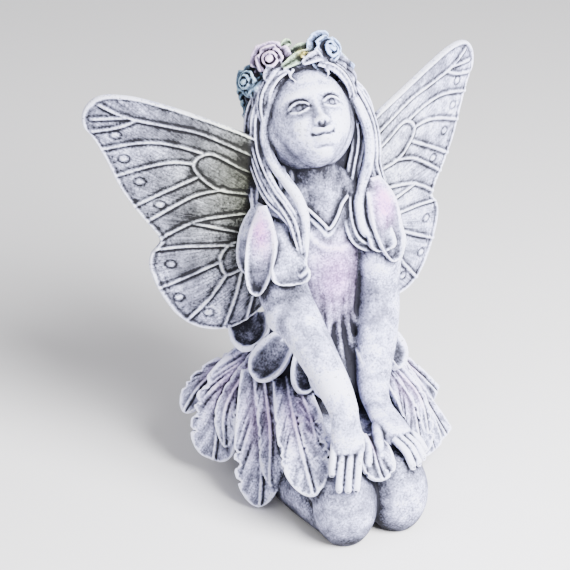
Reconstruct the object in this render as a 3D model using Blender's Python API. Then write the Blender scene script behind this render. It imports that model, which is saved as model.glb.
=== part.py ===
"""Kneeling fairy figurine, cast in one piece.

The figure is shaped from closed, overlapping bodies (limbs, locks of hair, petals, wings), which are
fused into one skin, thinned, and cut flat where it stands.  Shapes are in millimetres: X runs to the
figure's left, Y backward and Z up from the floor, with the kneeling legs and the face towards -Y.
The finished solid is moved so that its origin is the centre of its box at floor level, in metres.
"""

import bmesh
import bpy
import numpy as np

MM = 0.001

# Fineness of the solid
STEP = 1.5             # spacing of the points along and across each body, mm
FLESH_VOXEL = 1.2      # limbs and torso are fused on their own, so that they can be softened
FLESH_SOFTENING = 7    # rounds of smoothing on them
SKIN_VOXEL = 1.0       # the whole figure
SKIN_SOFTENING = 2
TRIANGLES = 9600       # of the finished solid
FLOOR_SINK = 0.6       # the lowest part of the sculpt that the flat base cuts away, mm

# Driving dimensions, mm
HEAD_CENTRE = np.array([-4.2, 4.0, 175.8])
HEAD_PITCH = np.radians(41)          # the face looks up
HEAD_YAW = np.radians(10)            # and a little to her right
HEAD_ROLL = np.radians(6)            # and leans to her right
SKULL = (19.0, 20.5, 23.6)           # half width, half depth, half height
WREATH_TILT = np.radians(35)         # the wreath sits back like a hair band
WREATH_CENTRE = (-4.0, 15.0)         # forward and up from the head's centre
WREATH_RADII = (22.0, 19.5)          # across the head, front to back
SKIRT_CENTRE = (2.0, -9.0)
SKIRT_SIDES = 48
KNEES = {-1: (-17.5, -68.0), 1: (9.2, -65.7)}     # right knee, left knee
ANKLES = {-1: -26.0, 1: 20.0}
WING_THICK = 3.0
WING_ROOT_THICK = 6.2
CAST_COLOUR = (0.62, 0.63, 0.72, 1.0)

FRONT = np.array([-np.sin(HEAD_YAW) * np.cos(HEAD_PITCH), -np.cos(HEAD_YAW) * np.cos(HEAD_PITCH),
                  np.sin(HEAD_PITCH)])
LEVEL = np.array([np.cos(HEAD_YAW), -np.sin(HEAD_YAW), 0.0])
LEFT = LEVEL * np.cos(HEAD_ROLL) + np.cross(FRONT, LEVEL) * np.sin(HEAD_ROLL)
UP = np.cross(FRONT, LEFT)
WREATH_FRONT = FRONT * np.cos(WREATH_TILT) + UP * np.sin(WREATH_TILT)
WREATH_UP = UP * np.cos(WREATH_TILT) - FRONT * np.sin(WREATH_TILT)

# Wing outline as (out from the midline, height), from the shoulder over the tip to the lower root
WING_HUB = np.array([6.0, 124.0])
WING_RIM = [(14, 160), (32, 171), (54.8, 181), (69.1, 186), (80, 188.6), (90.3, 188), (96, 182.5),
            (97, 174.5), (92.9, 167.7), (88.5, 158), (83.2, 144.5), (76.5, 133), (68.5, 120.6), (72.2, 113),
            (72.6, 105.5), (68.9, 94.5), (62, 83), (52.5, 76.6), (41.2, 76.2), (31.2, 81.5), (20, 93)]

# Locks of hair: points, half widths, half thicknesses, the way the flat side looks
SIDE_LOCKS = [
    # her right side, front to back
    ([(-15, 7, 195), (-20.5, 5, 188), (-23.6, 4.5, 181), (-25, 4, 173), (-25, 2, 166), (-24.5, -4, 160),
      (-21.7, -12, 154), (-18.9, -18, 148), (-17.2, -21, 140), (-17.4, -23, 130), (-17.6, -24, 117.5)],
     2.4, 2.4, [(-0.6, -0.8, 0.2), (-0.8, -0.6, 0), (-0.5, -0.9, 0.2), (0, -1, 0)]),
    ([(-17, 10, 193), (-23, 9, 187), (-27, 8, 180), (-28, 7, 172), (-27.8, 5, 164), (-27.5, -1, 157),
      (-26.3, -9, 150), (-23.8, -15, 144), (-21.4, -19.5, 137), (-20.2, -22, 128), (-18.6, -23.5, 118)],
     2.8, 2.4, [(-0.7, -0.7, 0.2), (-0.8, -0.6, 0), (-0.5, -0.8, 0.3)]),
    ([(-20, 15, 190), (-25, 13, 184), (-28.3, 12, 176), (-29, 10, 167), (-29, 6, 158.5), (-29, -2, 151),
      (-27.5, -9, 145), (-24.5, -15, 140), (-22, -18.5, 134)],
     2.7, 2.4, [(-0.9, -0.4, 0.2), (-1, -0.2, 0), (-0.6, -0.5, 0.6)]),
    ([(-19, 19.5, 187), (-23, 17.7, 180), (-25.5, 16.2, 170), (-26.5, 12.7, 158), (-28, 8.4, 148), (-30, 3.6, 141),
      (-32, 0, 136)], 3.0, 2.6, [(-1, 0, 0), (-1, -0.1, 0.3)]),
    ([(-18, 21.5, 186), (-22.5, 21, 176), (-24.5, 19, 162), (-25.6, 16, 148), (-28, 13.3, 135), (-30.5, 11, 124),
      (-32, 9, 114)], 4.2, 3.2, (-1, 0.3, 0)),
    # her left side, front to back
    ([(12, 5, 191), (16.5, 0.5, 183), (19.3, -3, 176), (21, -5, 169), (21.4, -6.5, 160.5), (20, -8, 153.5),
      (16.5, -10, 145), (13.5, -13, 138), (12.4, -17, 131), (14.2, -19, 126), (18.6, -20.3, 123),
      (24, -20.3, 121)], 2.4, 2.4, [(0.4, -0.9, 0.2), (0.2, -1, 0), (0, -1, 0.2), (0, -0.9, 0.4)]),
    ([(11.5, 9, 189), (15, 5, 182), (17.4, 1.5, 175), (18.8, 0, 167), (18, -1, 159.5), (15.4, -3, 152),
      (12.6, -6, 144), (9.8, -10, 136.5), (8.6, -15.5, 129), (11, -18, 122.5), (17, -19.7, 118.6),
      (24.5, -19.8, 116.3)], 2.6, 2.4, [(-0.2, -0.9, 0.2), (-0.2, -1, 0), (0, -1, 0.2), (0, -0.9, 0.4)]),
    ([(14, 10, 192), (20, 6, 184), (24, 2.5, 175), (26, 0, 166), (26.5, -1.5, 158), (26.5, -1.5, 151),
      (28, -3, 145), (31, -4.5, 139)], 3.0, 2.6, (0.6, -0.8, 0.1)),
    ([(16, 14, 190), (24, 11, 180), (27.5, 9, 168), (28, 9, 156), (28, 9, 144), (30, 8, 130), (30, 8, 116)],
     4.2, 3.2, (1, 0.2, 0)),
]

# Skirt feathers: root, middle, tip, half width, the way the face looks; from her right side round the
# front to her left side.  The back is filled in by a loop.
FEATHERS = [
    ((-22, 11, 64), (-46.4, 22, 45.9), (-57.9, 24, 29.5), 6.4, 0.70, (-0.6, -0.45, 0.65)),
    ((-24, 10, 65), (-45.6, 7.4, 42.5), (-50, 7.4, 11), 12.0, 0.78, (-0.62, -0.55, 0.56)),
    ((-32.2, -2.7, 59.4), (-37.2, -17.4, 32), (-42.5, -28, 2.2), 11.8, 0.66, (-0.52, -0.68, 0.5)),
    ((-22.2, -15.3, 58.4), (-29.1, -45.5, 46.8), (-33.3, -67.6, 26.2), 11.5, 0.68,
     ((-0.35, -0.6, 0.7), (-0.6, -0.6, 0.55))),
    ((-3, -56, 44), (-4, -68, 42), (-4.5, -77.5, 32.5), 8.0, 0.72, (0, -0.6, 0.8)),
    ((25, -18, 57), (32, -31, 42), (37, -36, 16), 10.0, 0.76, (0.35, -0.75, 0.55)),
    ((30, -9, 59), (38.5, -20, 38), (46, -28, 11.5), 8.0, 0.90, (0.4, -0.75, 0.5)),
    ((34, -3, 58), (46.5, -13, 33), (56.9, -20, 13.3), 5.4, 0.94, (0.3, -0.75, 0.6)),
    ((32, 4, 58), (48, -1, 41), (59.9, -3, 26.4), 4.8, 0.94, (0.2, -0.7, 0.7)),
    ((23, 9, 60), (46, 21, 38), (55, 22, 18), 8.5, 0.76, (0.8, 0.3, 0.5)),
]

# Cupped petals of the upper tier, in the same order
CUPS = [
    ((-25.3, 14, 79.4), (-31, 8, 72.9), (-37.5, 1, 67.7), 8.6, (-0.3, -0.5, 0.8)),
    ((-18.1, -6, 74.6), (-28, -7, 66), (-36.6, -9, 57.6), 8.7, (-0.45, -0.6, 0.66)),
    ((-12.6, -13.6, 72), (-17.4, -23, 62.5), (-20.9, -31, 56.2), 6.4, (-0.35, -0.75, 0.55)),
    ((-9, -18, 69), (-11, -28, 62), (-12, -36, 55), 7.0, (-0.1, -0.8, 0.6)),
    ((12, -16, 70), (14, -25, 63), (14, -31, 56), 7.0, (0.1, -0.75, 0.6)),
    ((16, -12, 74), (25, -18, 66), (29, -24, 56), 8.0, (0.5, -0.7, 0.5)),
    ((17, -2, 74), (26, -8, 66), (33, -15, 53), 6.6, (0.6, -0.45, 0.65)),
    ((12, 2, 76), (27, 12, 68), (35, 16, 58), 7.5, (0.7, 0.2, 0.7)),
]

# Sleeve petals: points, half width, width at the root and where it is widest, rim along the length, the
# way the face looks
SLEEVES = [
    ([(-31.5, -8, 142), (-35, -15, 134), (-36.5, -18.2, 123), (-38.8, -18.7, 105)], 6.9, 0.3, 0.6,
     (0.2, 0.9, 1.7, 1.9), (-0.66, -0.75, 0.1)),
    ([(-29, 0, 140), (-36, -2, 130), (-38.2, -4, 120), (-37.6, -6, 110)], 4.6, 0.6, 0.6,
     1.0, (-0.95, -0.2, 0.1)),
    ([(-19.5, -8.5, 138), (-24, -18.2, 129.6), (-26, -24.4, 119.6), (-26.6, -27.3, 110.8)], 8.4, 0.6, 0.85,
     (0, 0, 0.3, 1.4), (-0.2, -1, 0.2)),
    ([(-25.5, -22.6, 118.5), (-23.6, -26.4, 114.2), (-21, -28.6, 114.2), (-18.6, -29.6, 118.6)], 3.0, 0.5, 0.35,
     0.3, (-0.3, -1, -0.2)),
    ([(22.4, -8.5, 147), (24.2, -15.8, 137.8), (24.3, -20, 125.3), (26, -23.2, 111.2)], 8.2, 0.55, 0.5,
     (0.2, 0.9, 1.5, 1.8), (0.2, -0.97, 0.1)),
    ([(27, 0, 141), (33, -2, 132), (35.5, -5, 120), (35.5, -8, 108)], 7.0, 0.6, 0.6, 1.2, (0.95, -0.1, 0.1)),
    ([(16, -10, 138), (19, -17, 131), (20.5, -20.8, 124), (20.6, -22.4, 117)], 6.5, 0.6, 0.8, (0, 0, 0.6, 1.4),
     (0.0, -1, 0.2)),
]

# Roses on the wreath: angle from the front, rise above the ring, radius
ROSES = [(-64, -0.5, 7.6), (-98, 1.0, 3.6), (-30, -0.5, 8.8), (31, -1.0, 9.0),
         (70, -1.0, 5.2), (112, 1.0, 5.8), (146, 1.0, 6.2), (180, 1.0, 6.0),
         (216, 1.0, 6.0), (244, 1.0, 5.8)]

# Turns of a rose's petals, in shares of its radius: how many, how far out and how high root, belly and tip
# lie, half width, how upright they stand, how their sides bend, offset
ROSE_TURNS = [(5, (0.30, 0.80, 1.08), (-0.12, 0.10, 0.04), 0.58, 0.3, -0.1, 0.0),
              (4, (0.22, 0.50, 0.70), (0.0, 0.36, 0.52), 0.42, 0.55, -0.2, 0.4),
              (3, (0.12, 0.26, 0.38), (0.10, 0.54, 0.76), 0.32, 0.75, -0.35, 0.1),
              (2, (0.02, 0.08, 0.13), (0.20, 0.60, 0.88), 0.20, 0.9, -0.5, 0.3)]

# Leaves on the wreath: angle and rise of the root, angle and rise of the tip, half width
LEAVES = [(-100, 3, -118, 0, 2.6), (-90, -3, -108, -6, 2.8), (-84, 4, -100, 7, 2.6),
          (-50, -5, -74, -8, 2.8), (-22, -6, -48, -9, 2.6), (-24, -8, 20, -4, 3.0),
          (-2, -10, 34, -4, 2.8), (-16, 3, -2, 6, 2.0), (-8, 0, 14, -1, 2.2),
          (46, -3, 70, -4, 3.4), (52, 2, 76, 1, 3.2), (58, -6, 84, -9, 3.4),
          (92, 1, 106, -4, 2.7), (128, 1, 118, 6, 2.7), (160, 1, 170, 7, 2.7),
          (200, 1, 192, 7, 2.7), (232, 1, 224, 7, 2.7)]


# ------------------------------------------------------------------ curves and closed bodies


def curve(points, count):
    """Catmull-Rom curve through the points, with count points on it."""
    p = np.asarray(points, float)
    if p.ndim == 1:
        p = p[:, None]
    ends = np.vstack([2 * p[0] - p[1], p, 2 * p[-1] - p[-2]])
    t = np.linspace(0, len(p) - 1, count)
    i = np.minimum(t.astype(int), len(p) - 2)
    f = (t - i)[:, None]
    a, b, c, d = ends[i], ends[i + 1], ends[i + 2], ends[i + 3]
    return 0.5 * (2 * b + (c - a) * f + (2 * a - 5 * b + 4 * c - d) * f ** 2
                  + (3 * b - a - 3 * c + d) * f ** 3)


def unit(v):
    v = np.asarray(v, float)
    return v / np.maximum(np.linalg.norm(v, axis=-1, keepdims=True), 1e-9)


def spread(value, count):
    """One number, or several spread evenly along a length, as count numbers."""
    if np.isscalar(value):
        return np.full(count, float(value))
    return curve(value, count)[:, 0]


def steps(length, least=5):
    """How many points a length takes."""
    return max(least, int(round(length / STEP)) + 1)


def length_of(points):
    return float(np.sum(np.linalg.norm(np.diff(curve(points, 24), axis=0), axis=1)))


def frames(path, facing):
    """Outward and sideways unit vectors along a path, from one or more facing directions."""
    tangent = unit(np.gradient(path, axis=0))
    out = np.asarray(facing, float)
    out = np.tile(out, (len(path), 1)) if out.ndim == 1 else curve(out, len(path))
    out = unit(out - tangent * np.sum(out * tangent, axis=1, keepdims=True))
    return out, np.cross(tangent, out)


def loft(rings):
    """Vertices and triangles of the closed body through a stack of closed rings."""
    rings = np.asarray(rings, float)
    count, around = rings.shape[:2]
    index = np.arange(count * around).reshape(count, around)
    a, d = index[:-1], index[1:]
    b, c = np.roll(a, -1, axis=1), np.roll(d, -1, axis=1)
    faces = [np.stack([a, b, c], -1).reshape(-1, 3), np.stack([a, c, d], -1).reshape(-1, 3)]
    k = np.arange(around // 2 - 1)
    for row, order in ((index[0], [3, 2, 1, 0]), (index[-1], [0, 1, 2, 3])):
        strip = np.stack([row[k], row[k + 1], row[around - 2 - k], row[around - 1 - k]], -1)[:, order]
        faces += [strip[:, [0, 1, 2]], strip[:, [0, 2, 3]]]
    return rings.reshape(-1, 3), np.concatenate(faces)


class Clay:
    """A heap of closed, overlapping bodies, to be fused into one skin."""

    def __init__(self):
        self.bodies = []

    def add(self, rings):
        self.bodies.append(loft(rings))

    def mesh(self, name):
        first = np.cumsum([0] + [len(verts) for verts, _ in self.bodies[:-1]])
        verts = np.concatenate([verts for verts, _ in self.bodies])
        faces = np.concatenate([faces + start for (_, faces), start in zip(self.bodies, first)])
        mesh = bpy.data.meshes.new(name)
        mesh.from_pydata(verts.tolist(), [], faces.tolist())
        return mesh


def rope(clay, points, wide, thick, facing):
    """A limb or lock: an oval swept along a curve, `wide` across and `thick` towards `facing`."""
    count = steps(length_of(points))
    path = curve(points, count)
    w, h = spread(wide, count), spread(thick, count)
    out, side = frames(path, facing)
    around = 2 * max(6, int(np.pi * max(w.max(), h.max()) / STEP))
    angle = (np.arange(around) + 0.5) * 2 * np.pi / around
    clay.add(path[:, None] + side[:, None] * (w[:, None] * np.cos(angle))[..., None]
             + out[:, None] * (h[:, None] * np.sin(angle))[..., None])


def ball(clay, centre, radii, axes=np.eye(3)):
    """An ellipsoid with radii along three unit rows."""
    count = steps(np.pi * max(radii), least=9)
    around = 2 * count
    lat = np.linspace(0, np.pi, count)[:, None]
    lon = (np.arange(around) + 0.5) * 2 * np.pi / around
    local = np.stack([radii[0] * np.sin(lat) * np.cos(lon), radii[1] * np.sin(lat) * np.sin(lon),
                      radii[2] * np.cos(lat) * np.ones(around)], -1)
    clay.add(np.asarray(centre, float) + local @ np.asarray(axes))


def petal_width(u, root, belly, point):
    """Width along a petal, as a share of its widest: 1 at `belly`, closing to a tip."""
    rising = root + (1 - root) * np.sin(np.pi / 2 * np.clip(u / belly, 0, 1))
    closing = np.clip(1 - (np.clip(u - belly, 0, 1) / (1 - belly)) ** 2, 0, 1) ** point
    return rising * closing


def leaf(clay, points, half, facing, thick, cup=0.0, rim=0.0, root=0.6, belly=0.6, point=0.5):
    """A petal or feather on a bent midline, hollowed by `cup`, with a raised rim."""
    count = steps(length_of(points), least=7)
    path = curve(points, count)
    u = np.linspace(0, 1, count)[:, None]
    v = np.linspace(-1, 1, steps(2 * half, least=7))[None, :]
    width = half * petal_width(u, root, belly, point)
    out, side = frames(path, facing)
    run = u * length_of(points)
    edge = np.minimum((1 - np.abs(v)) * width, run[-1] - run)
    lift = spread(cup, count)[:, None] * v ** 2 * width
    raised = spread(rim, count)[:, None] * np.exp(-(edge / 1.6) ** 2)
    middle = path[:, None] + side[:, None] * (v * width)[..., None]
    top = middle + out[:, None] * (lift + thick / 2 + raised)[..., None]
    bottom = middle + out[:, None] * (lift - thick / 2)[..., None]
    clay.add(np.concatenate([top, bottom[:, ::-1]], axis=1))


# ------------------------------------------------------------------ the figure


def head_at(x, y, z):
    """A point in the head's own frame: to her left, forward, and up through the crown."""
    return HEAD_CENTRE + x * LEFT + y * FRONT + z * UP


def torso(clay):
    rope(clay, [(0, -18, 36), (0, -15, 52), (0, -11, 66), (0, -9, 79), (0, -8.5, 92), (0, -7.5, 106), (0, -7, 118),
                (-0.5, -5.5, 128), (-1, -4, 137), (-1.5, -2, 145)],
         [26, 25, 20, 16.5, 17.5, 20, 22, 19.5, 14, 9.5], [18, 15, 11.5, 10, 10.5, 11, 11, 10.5, 9.5, 8.5],
         (0, -1, 0))
    rope(clay, [(0, -5, 128), (-1.5, -2.5, 143), (-3, 3, 160)], [11.5, 10.6, 11.5], [9.5, 9.6, 10.5], (0, -1, 0))
    for side in (-1, 1):
        rope(clay, [(side * 4, -0.5, 150), (side * 11, -2.5, 142), (side * 17, -4.5, 137.5),
                    (side * 23, -6, 132)], [6, 7, 7.5, 8], [6, 7.5, 8, 8.5], (0, -1, 0))
        rope(clay, [(side * 6 - 2, 0, 158), (side * 5.6, -7.4, 148), (side * 2.4, -12, 138)], [2.2, 2.0, 1.2],
             [1.6, 1.4, 1.0], (0, -1, 0.3))


def arms(clay):
    """Each arm from the shoulder down to the knuckles."""
    rope(clay, [(-22, -6, 129), (-26.5, -8, 122), (-26.5, -15, 111), (-25.5, -22.4, 100), (-23.6, -34.8, 92),
                (-21.6, -46.6, 83.2), (-19.4, -57.6, 74), (-17.6, -63.8, 65.4), (-17.4, -66, 59.5),
                (-17.6, -68.5, 54), (-17.6, -70.5, 49.5), (-18, -72.3, 46)],
         [8, 10.5, 11.2, 11.2, 9.9, 8.7, 7.7, 6.7, 6.4, 7.2, 7.4, 6.6],
         [8, 9.5, 9.5, 9.5, 9.4, 8.4, 7.1, 5.8, 5.0, 4.7, 4.2, 3.2], (-0.25, -1, 0.3))
    ball(clay, (-27.5, -26, 96), (9.6, 9.6, 9.6))
    rope(clay, [(20.5, -7, 129), (22.6, -11.5, 123), (22.8, -15.5, 111.5), (22.6, -14.8, 97.5), (21.8, -17, 85.5),
                (19.2, -21.6, 74.5), (15, -27.5, 62.5), (11.2, -36, 54), (10.2, -43.6, 49.8), (10, -50.6, 47.8),
                (10.4, -57.8, 45.4), (12, -63, 43)],
         [8, 10, 10.4, 10.4, 10.4, 10, 8.8, 7.2, 6.6, 7.3, 7.7, 6.8],
         [8, 9.5, 9.5, 9.5, 9.6, 8.8, 7.6, 6, 5.0, 4.6, 4.2, 3.2],
         [(0.3, -1, 0.2), (0.3, -1, 0.2), (0.2, -0.8, 0.6), (0, -0.45, 0.9)])


def legs(clay):
    for side, (x, y) in KNEES.items():
        ankle = ANKLES[side]
        rope(clay, [(side * 12, -12, 34), (x * 0.7 + side * 4, -38, 30), (x, y + 8, 26), (x, y, 22)],
             [17, 17, 15, 12.5], [14, 15, 14.5, 13], (0, 0, 1))
        ball(clay, (x, y + 1, 18), (14.4, 14, 20))
        rope(clay, [(x, y + 4, 11), ((x + ankle) / 2, -30, 11), (ankle, 12, 10), (ankle + side, 22, 8)],
             [13, 13, 9, 7], [11, 12, 9, 7], (0, 0, 1))
        rope(clay, [(ankle, 14, 8), (ankle + side, 30, 7), (ankle - side, 41, 5)], [6.5, 8.5, 6], [6, 5.5, 3.5],
             (0, 0, 1))
    # the casting is filled between the shins, up to the skirt
    rope(clay, [(-3, -52, 12), (-3, -20, 12), (-2, 14, 12)], [15, 18, 16], [12, 13, 12], (0, 0, 1))


def finger(clay, root, middle, tip, radius):
    root, tip = np.asarray(root, float), np.asarray(tip, float)
    rope(clay, [root, middle, tip - 0.06 * (tip - root), tip], [radius, radius * 1.05, radius, radius * 0.7],
         [radius * 1.15, radius * 1.1, radius, radius * 0.65], (0, -1, 0.4))


def hands(clay):
    # the right hand hangs over the knee, with its fingers pointing down
    tips = ((-27.2, -73.7, 38.5), (-25.6, -77.7, 32.4), (-22.2, -79.7, 32.2), (-18.6, -80.7, 32.4))
    for k, (x, y, z) in enumerate(tips):
        root = (-23.3 + 3.55 * k, -67.5 - 1.5 * k, 50.5)
        middle = (0.6 * x + 0.4 * root[0], y - 1 + 0.5 * (root[1] - y), z / 2 + 26)
        finger(clay, root, middle, (x, y, z), 1.85)
    finger(clay, (-12.5, -64, 54), (-7.8, -67, 46.5), (-8.6, -72.5, 39.2), 2.3)
    # the left hand lies along the thigh, with its fingers pointing out
    ends = (((7.8, -64, 44), (12.6, -74.5, 34)), ((10.8, -63, 44.2), (16.4, -73, 34.2)),
            ((13.8, -61.2, 44.2), (20.2, -69.8, 34.6)), ((16.6, -58.8, 44), (23.2, -64.8, 35.5)))
    for root, tip in ends:
        middle = (np.array(root) + tip) / 2 + (0.3, -1.4, 1.6)
        finger(clay, root, middle, tip, 1.9)
    finger(clay, (4.4, -53.4, 47), (0, -64.4, 44), (-1.2, -70.7, 39.2), 2.4)


def face(x, z):
    """How far the face stands out of the skull at a point across and up it: a calm, plain child's face."""
    across = np.abs(x)
    sockets = 2.4 * np.exp(-((across - 7.6) / 5.2) ** 2 - ((z + 0.5) / 3.6) ** 2)
    eyes = 1.9 * np.exp(-((across - 7.7) / 3.6) ** 2 - ((z + 0.8) / 2.4) ** 2)
    cheeks = 1.3 * np.exp(-((across - 9.5) / 5.5) ** 2 - ((z + 9.5) / 4.5) ** 2)
    along = np.clip((2 - z) / 10.5, 0, 1)
    nose = 3.9 * along ** 1.35 * np.clip((z + 10.6) / 1.8, 0, 1) ** 0.6
    nose = nose * np.exp(-(across / (1.7 + 1.2 * along)) ** 2)
    lips = 2.4 * np.exp(-(x / 5.2) ** 2 - ((z + 14.9) / 2.4) ** 2)
    chin = 1.4 * np.exp(-(x / 4.2) ** 2 - ((z + 21.4) / 2.4) ** 2)
    return eyes + cheeks + nose + lips + chin - sockets


def shell(clay, radii, forward, up, shape):
    """An egg in the head's frame; shape(across, y, z, dy, dz) gives the two adjusted coordinates."""
    count = steps(np.pi * max(radii))
    lat = np.linspace(0, np.pi, count)[:, None]
    lon = (np.arange(2 * count) + 0.5) * np.pi / count
    dx, dy, dz = np.sin(lat) * np.sin(lon), np.sin(lat) * np.cos(lon), np.cos(lat) * np.ones(2 * count)
    x, y = shape(radii[0] * dx, radii[1] * dy, radii[2] * dz, dy, dz)
    z = radii[2] * dz
    clay.add(HEAD_CENTRE + x[..., None] * LEFT + (y + forward)[..., None] * FRONT + (z + up)[..., None] * UP)


def skull(clay):
    def shape(x, y, z, dy, dz):
        low = np.clip(-dz, 0, 1) ** 2
        x = x * (1 - 0.2 * low)
        return x, y + 2 * low + face(x, z) * np.clip(3 * dy, 0, 1)
    shell(clay, SKULL, 0, 0, shape)


def hair(clay):
    shell(clay, (23, 21.2, 25.2), -5.5, 1.5, lambda x, y, z, dy, dz: (x, y))
    for points, wide, thick, facing in SIDE_LOCKS:
        taper = np.array([0.65] + [1.0] * (len(points) - 3) + [0.8, 0.25])
        rope(clay, points, wide * taper, thick * taper, facing)
    for side in (-1, 1):
        rope(clay, [(side * 16, 6, 172), (side * 15.5, 3, 155), (side * 14, 0, 142), (side * 12.5, -5, 131)],
             [3.5, 4.5, 4.5, 1.5], [3, 3.5, 3.5, 1.5], (side * 0.4, -1, 0))
        # the roll from the parting, round the brow and down to the side locks
        brow = ((8, 14, 19.2), (13.8, 12, 17), (18.6, 9, 13), (21.4, 6, 6.5), (22.4, 4, -2))
        rope(clay, [head_at(side * x, y, z) for x, y, z in brow], [1.6, 3.2, 3.6, 3.2, 1.2],
             [1.4, 2.4, 2.6, 2.4, 1.2], FRONT + 0.6 * side * LEFT)
    ball(clay, (0, 8, 146), (24, 11, 24))
    back_locks = 9
    for k in range(back_locks):
        turn = k - back_locks // 2
        a = np.radians(19 * turn)
        x, y = 25 * np.sin(a), 13 * np.cos(a)
        end = 101 + 3 * abs(turn) + 4 * (turn % 2)
        rope(clay, [head_at(17 * np.sin(a), -14 * np.cos(a) - 4, 12), (x, 8 + 1.15 * y, 162),
                    (1.1 * x, 6 + 1.1 * y, 145), (1.05 * x, 3 + y, 128), (0.95 * x, 1 + 0.9 * y, 114),
                    (0.85 * x, 1 + 0.8 * y, end)],
             [4.5, 5.6, 5.8, 5.4, 4.2, 0.9], [3.5, 4.2, 4.4, 4.2, 3.2, 0.9], (np.sin(a), np.cos(a), 0))


def wreath_at(angle, lift, rise):
    """A point on the wreath's ring, and the way it looks, at an angle in degrees from the front."""
    a = np.radians(angle)
    out = WREATH_FRONT * np.cos(a) + LEFT * np.sin(a)
    across, along = WREATH_RADII
    point = head_at(0, *WREATH_CENTRE) + WREATH_UP * rise
    return point + WREATH_FRONT * np.cos(a) * (along + lift) + LEFT * np.sin(a) * (across + lift), out


def wreath_facing(angle, lean):
    """The way a flower looks: outwards, leaning to the face at the front and away from it at the back."""
    return wreath_at(angle, 0, 0)[1] - lean * np.cos(np.radians(angle)) * WREATH_UP


def rose(clay, centre, facing, radius):
    """A rose: outer petals that fold back, then petals wrapped ever closer round a bud."""
    out = unit(facing)
    east = unit(np.cross(out, (0.3, 0.2, 1)))
    north = np.cross(out, east)
    ball(clay, centre - 0.15 * radius * out, (0.62 * radius,) * 3)
    random = np.random.default_rng(int(10 * radius))
    for petals, reach, height, half, upright, fold, offset in ROSE_TURNS:
        for k in range(petals):
            a = 2 * np.pi * (k + offset + random.uniform(-0.12, 0.12)) / petals
            away = np.cos(a) * east + np.sin(a) * north
            grow, rise = random.uniform(0.88, 1.1), random.uniform(-0.06, 0.08)
            points = [centre + radius * (grow * r * away + (h + rise) * out) for r, h in zip(reach, height)]
            leaf(clay, points, half * grow * radius, (1 - upright) * out + upright * away, 0.2 * radius,
                 cup=fold, rim=0.2, root=0.7)


def wreath(clay):
    ring = [wreath_at(angle, 0, 0)[0] for angle in range(0, 361, 30)]
    rope(clay, ring, 2.6, 2.6, UP)
    # the hair drawn up under it
    rope(clay, [wreath_at(angle, -4.5, -2.5)[0] for angle in range(-100, 101, 20)], 4.6, 5, WREATH_UP)
    for angle, rise, radius in ROSES:
        rose(clay, wreath_at(angle, 1.5, rise)[0], wreath_facing(angle, 0.85), radius)
    for angle, rise, tip_angle, tip_rise, half in LEAVES:
        root, out = wreath_at(angle, 1.5, rise)
        tip, tip_out = wreath_at(tip_angle, 2, tip_rise)
        leaf(clay, [root, (root + tip) / 2 + out + tip_out, tip], half, wreath_facing(angle, 0.7), 1.6, root=0.4)


def wing(clay, side):
    """One wing: a curved plate that reaches from a hub in the back to the outline."""
    rim = curve(WING_RIM, steps(330))
    f = np.linspace(0, 1, steps(95))
    x = WING_HUB[0] + (rim[:, :1] - WING_HUB[0]) * f
    z = WING_HUB[1] + (rim[:, 1:] - WING_HUB[1]) * f
    reach = np.hypot(x - WING_HUB[0], z - WING_HUB[1])
    edge = reach[:, -1:] - reach
    half = WING_THICK / 2 + (WING_ROOT_THICK - WING_THICK) / 2 * np.clip(1 - reach / 34, 0, 1)
    raised = 0.8 * np.exp(-(edge / 1.8) ** 2)
    lean = unit(np.stack([-(0.15 + 0.0056 * x), np.ones_like(x), np.zeros_like(x)], -1))
    middle = np.stack([x, 0.15 * x + 0.0028 * x ** 2, z], -1)
    front = middle - lean * (half + raised)[..., None]
    back = middle + lean * (half + 0.5 * raised)[..., None]
    mirror = (side, 1, 1)
    clay.add(np.concatenate([front, back[:, ::-1]], axis=1) * mirror)


def skirt(clay):
    rings = []
    angle = (np.arange(SKIRT_SIDES) + 0.5) * 2 * np.pi / SKIRT_SIDES
    for z, rx, ry, y in ((80, 15, 9, -9), (74, 17.5, 11.5, -8.5), (66, 23.5, 15.5, -6.5), (56, 30.5, 21.5, -5),
                         (44, 35, 27.5, -6), (30, 36, 32, -6), (22, 33, 29, -5), (20, 26, 24, -5)):
        height = np.full(SKIRT_SIDES, float(z))
        rings.append(np.stack([1 + rx * np.cos(angle), y + ry * np.sin(angle), height], -1))
    clay.add(rings)
    for root, middle, tip, half, belly, facing in FEATHERS:
        feather(clay, [root, middle, tip], half, belly, facing)
    for root, middle, tip, half, facing in CUPS:
        cup(clay, [root, middle, tip], half, facing)
    for k in range(-3, 4):
        points, facing = fill_petal(22 * k, ((21, 61), (42, 40), (50, 9 + 5 * (k % 2))), 0.6)
        feather(clay, points, 10.5, 0.76, facing)
    for turn in (-19, 17):
        points, facing = fill_petal(turn, ((8, 77), (25, 70), (37, 57)), 0.8)
        cup(clay, points, 12, facing)


def feather(clay, points, half, belly, facing):
    """A feather that ends rounder, and more bluntly, the nearer its tip it is widest."""
    leaf(clay, points, half, facing, 2.8, cup=0.1, rim=0.4, belly=belly, point=1.75 * (1 - belly))


def cup(clay, points, half, facing):
    leaf(clay, points, half, facing, 2.8, cup=0.42, rim=1.2, belly=0.55)


def fill_petal(turn, profile, tilt):
    """Midline and facing of a petal of the skirt's back, at an angle in degrees from straight behind."""
    a = np.radians(turn)
    points = [(SKIRT_CENTRE[0] + r * np.sin(a), SKIRT_CENTRE[1] + r * np.cos(a), z) for r, z in profile]
    return points, (np.sin(a), np.cos(a), tilt)


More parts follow.
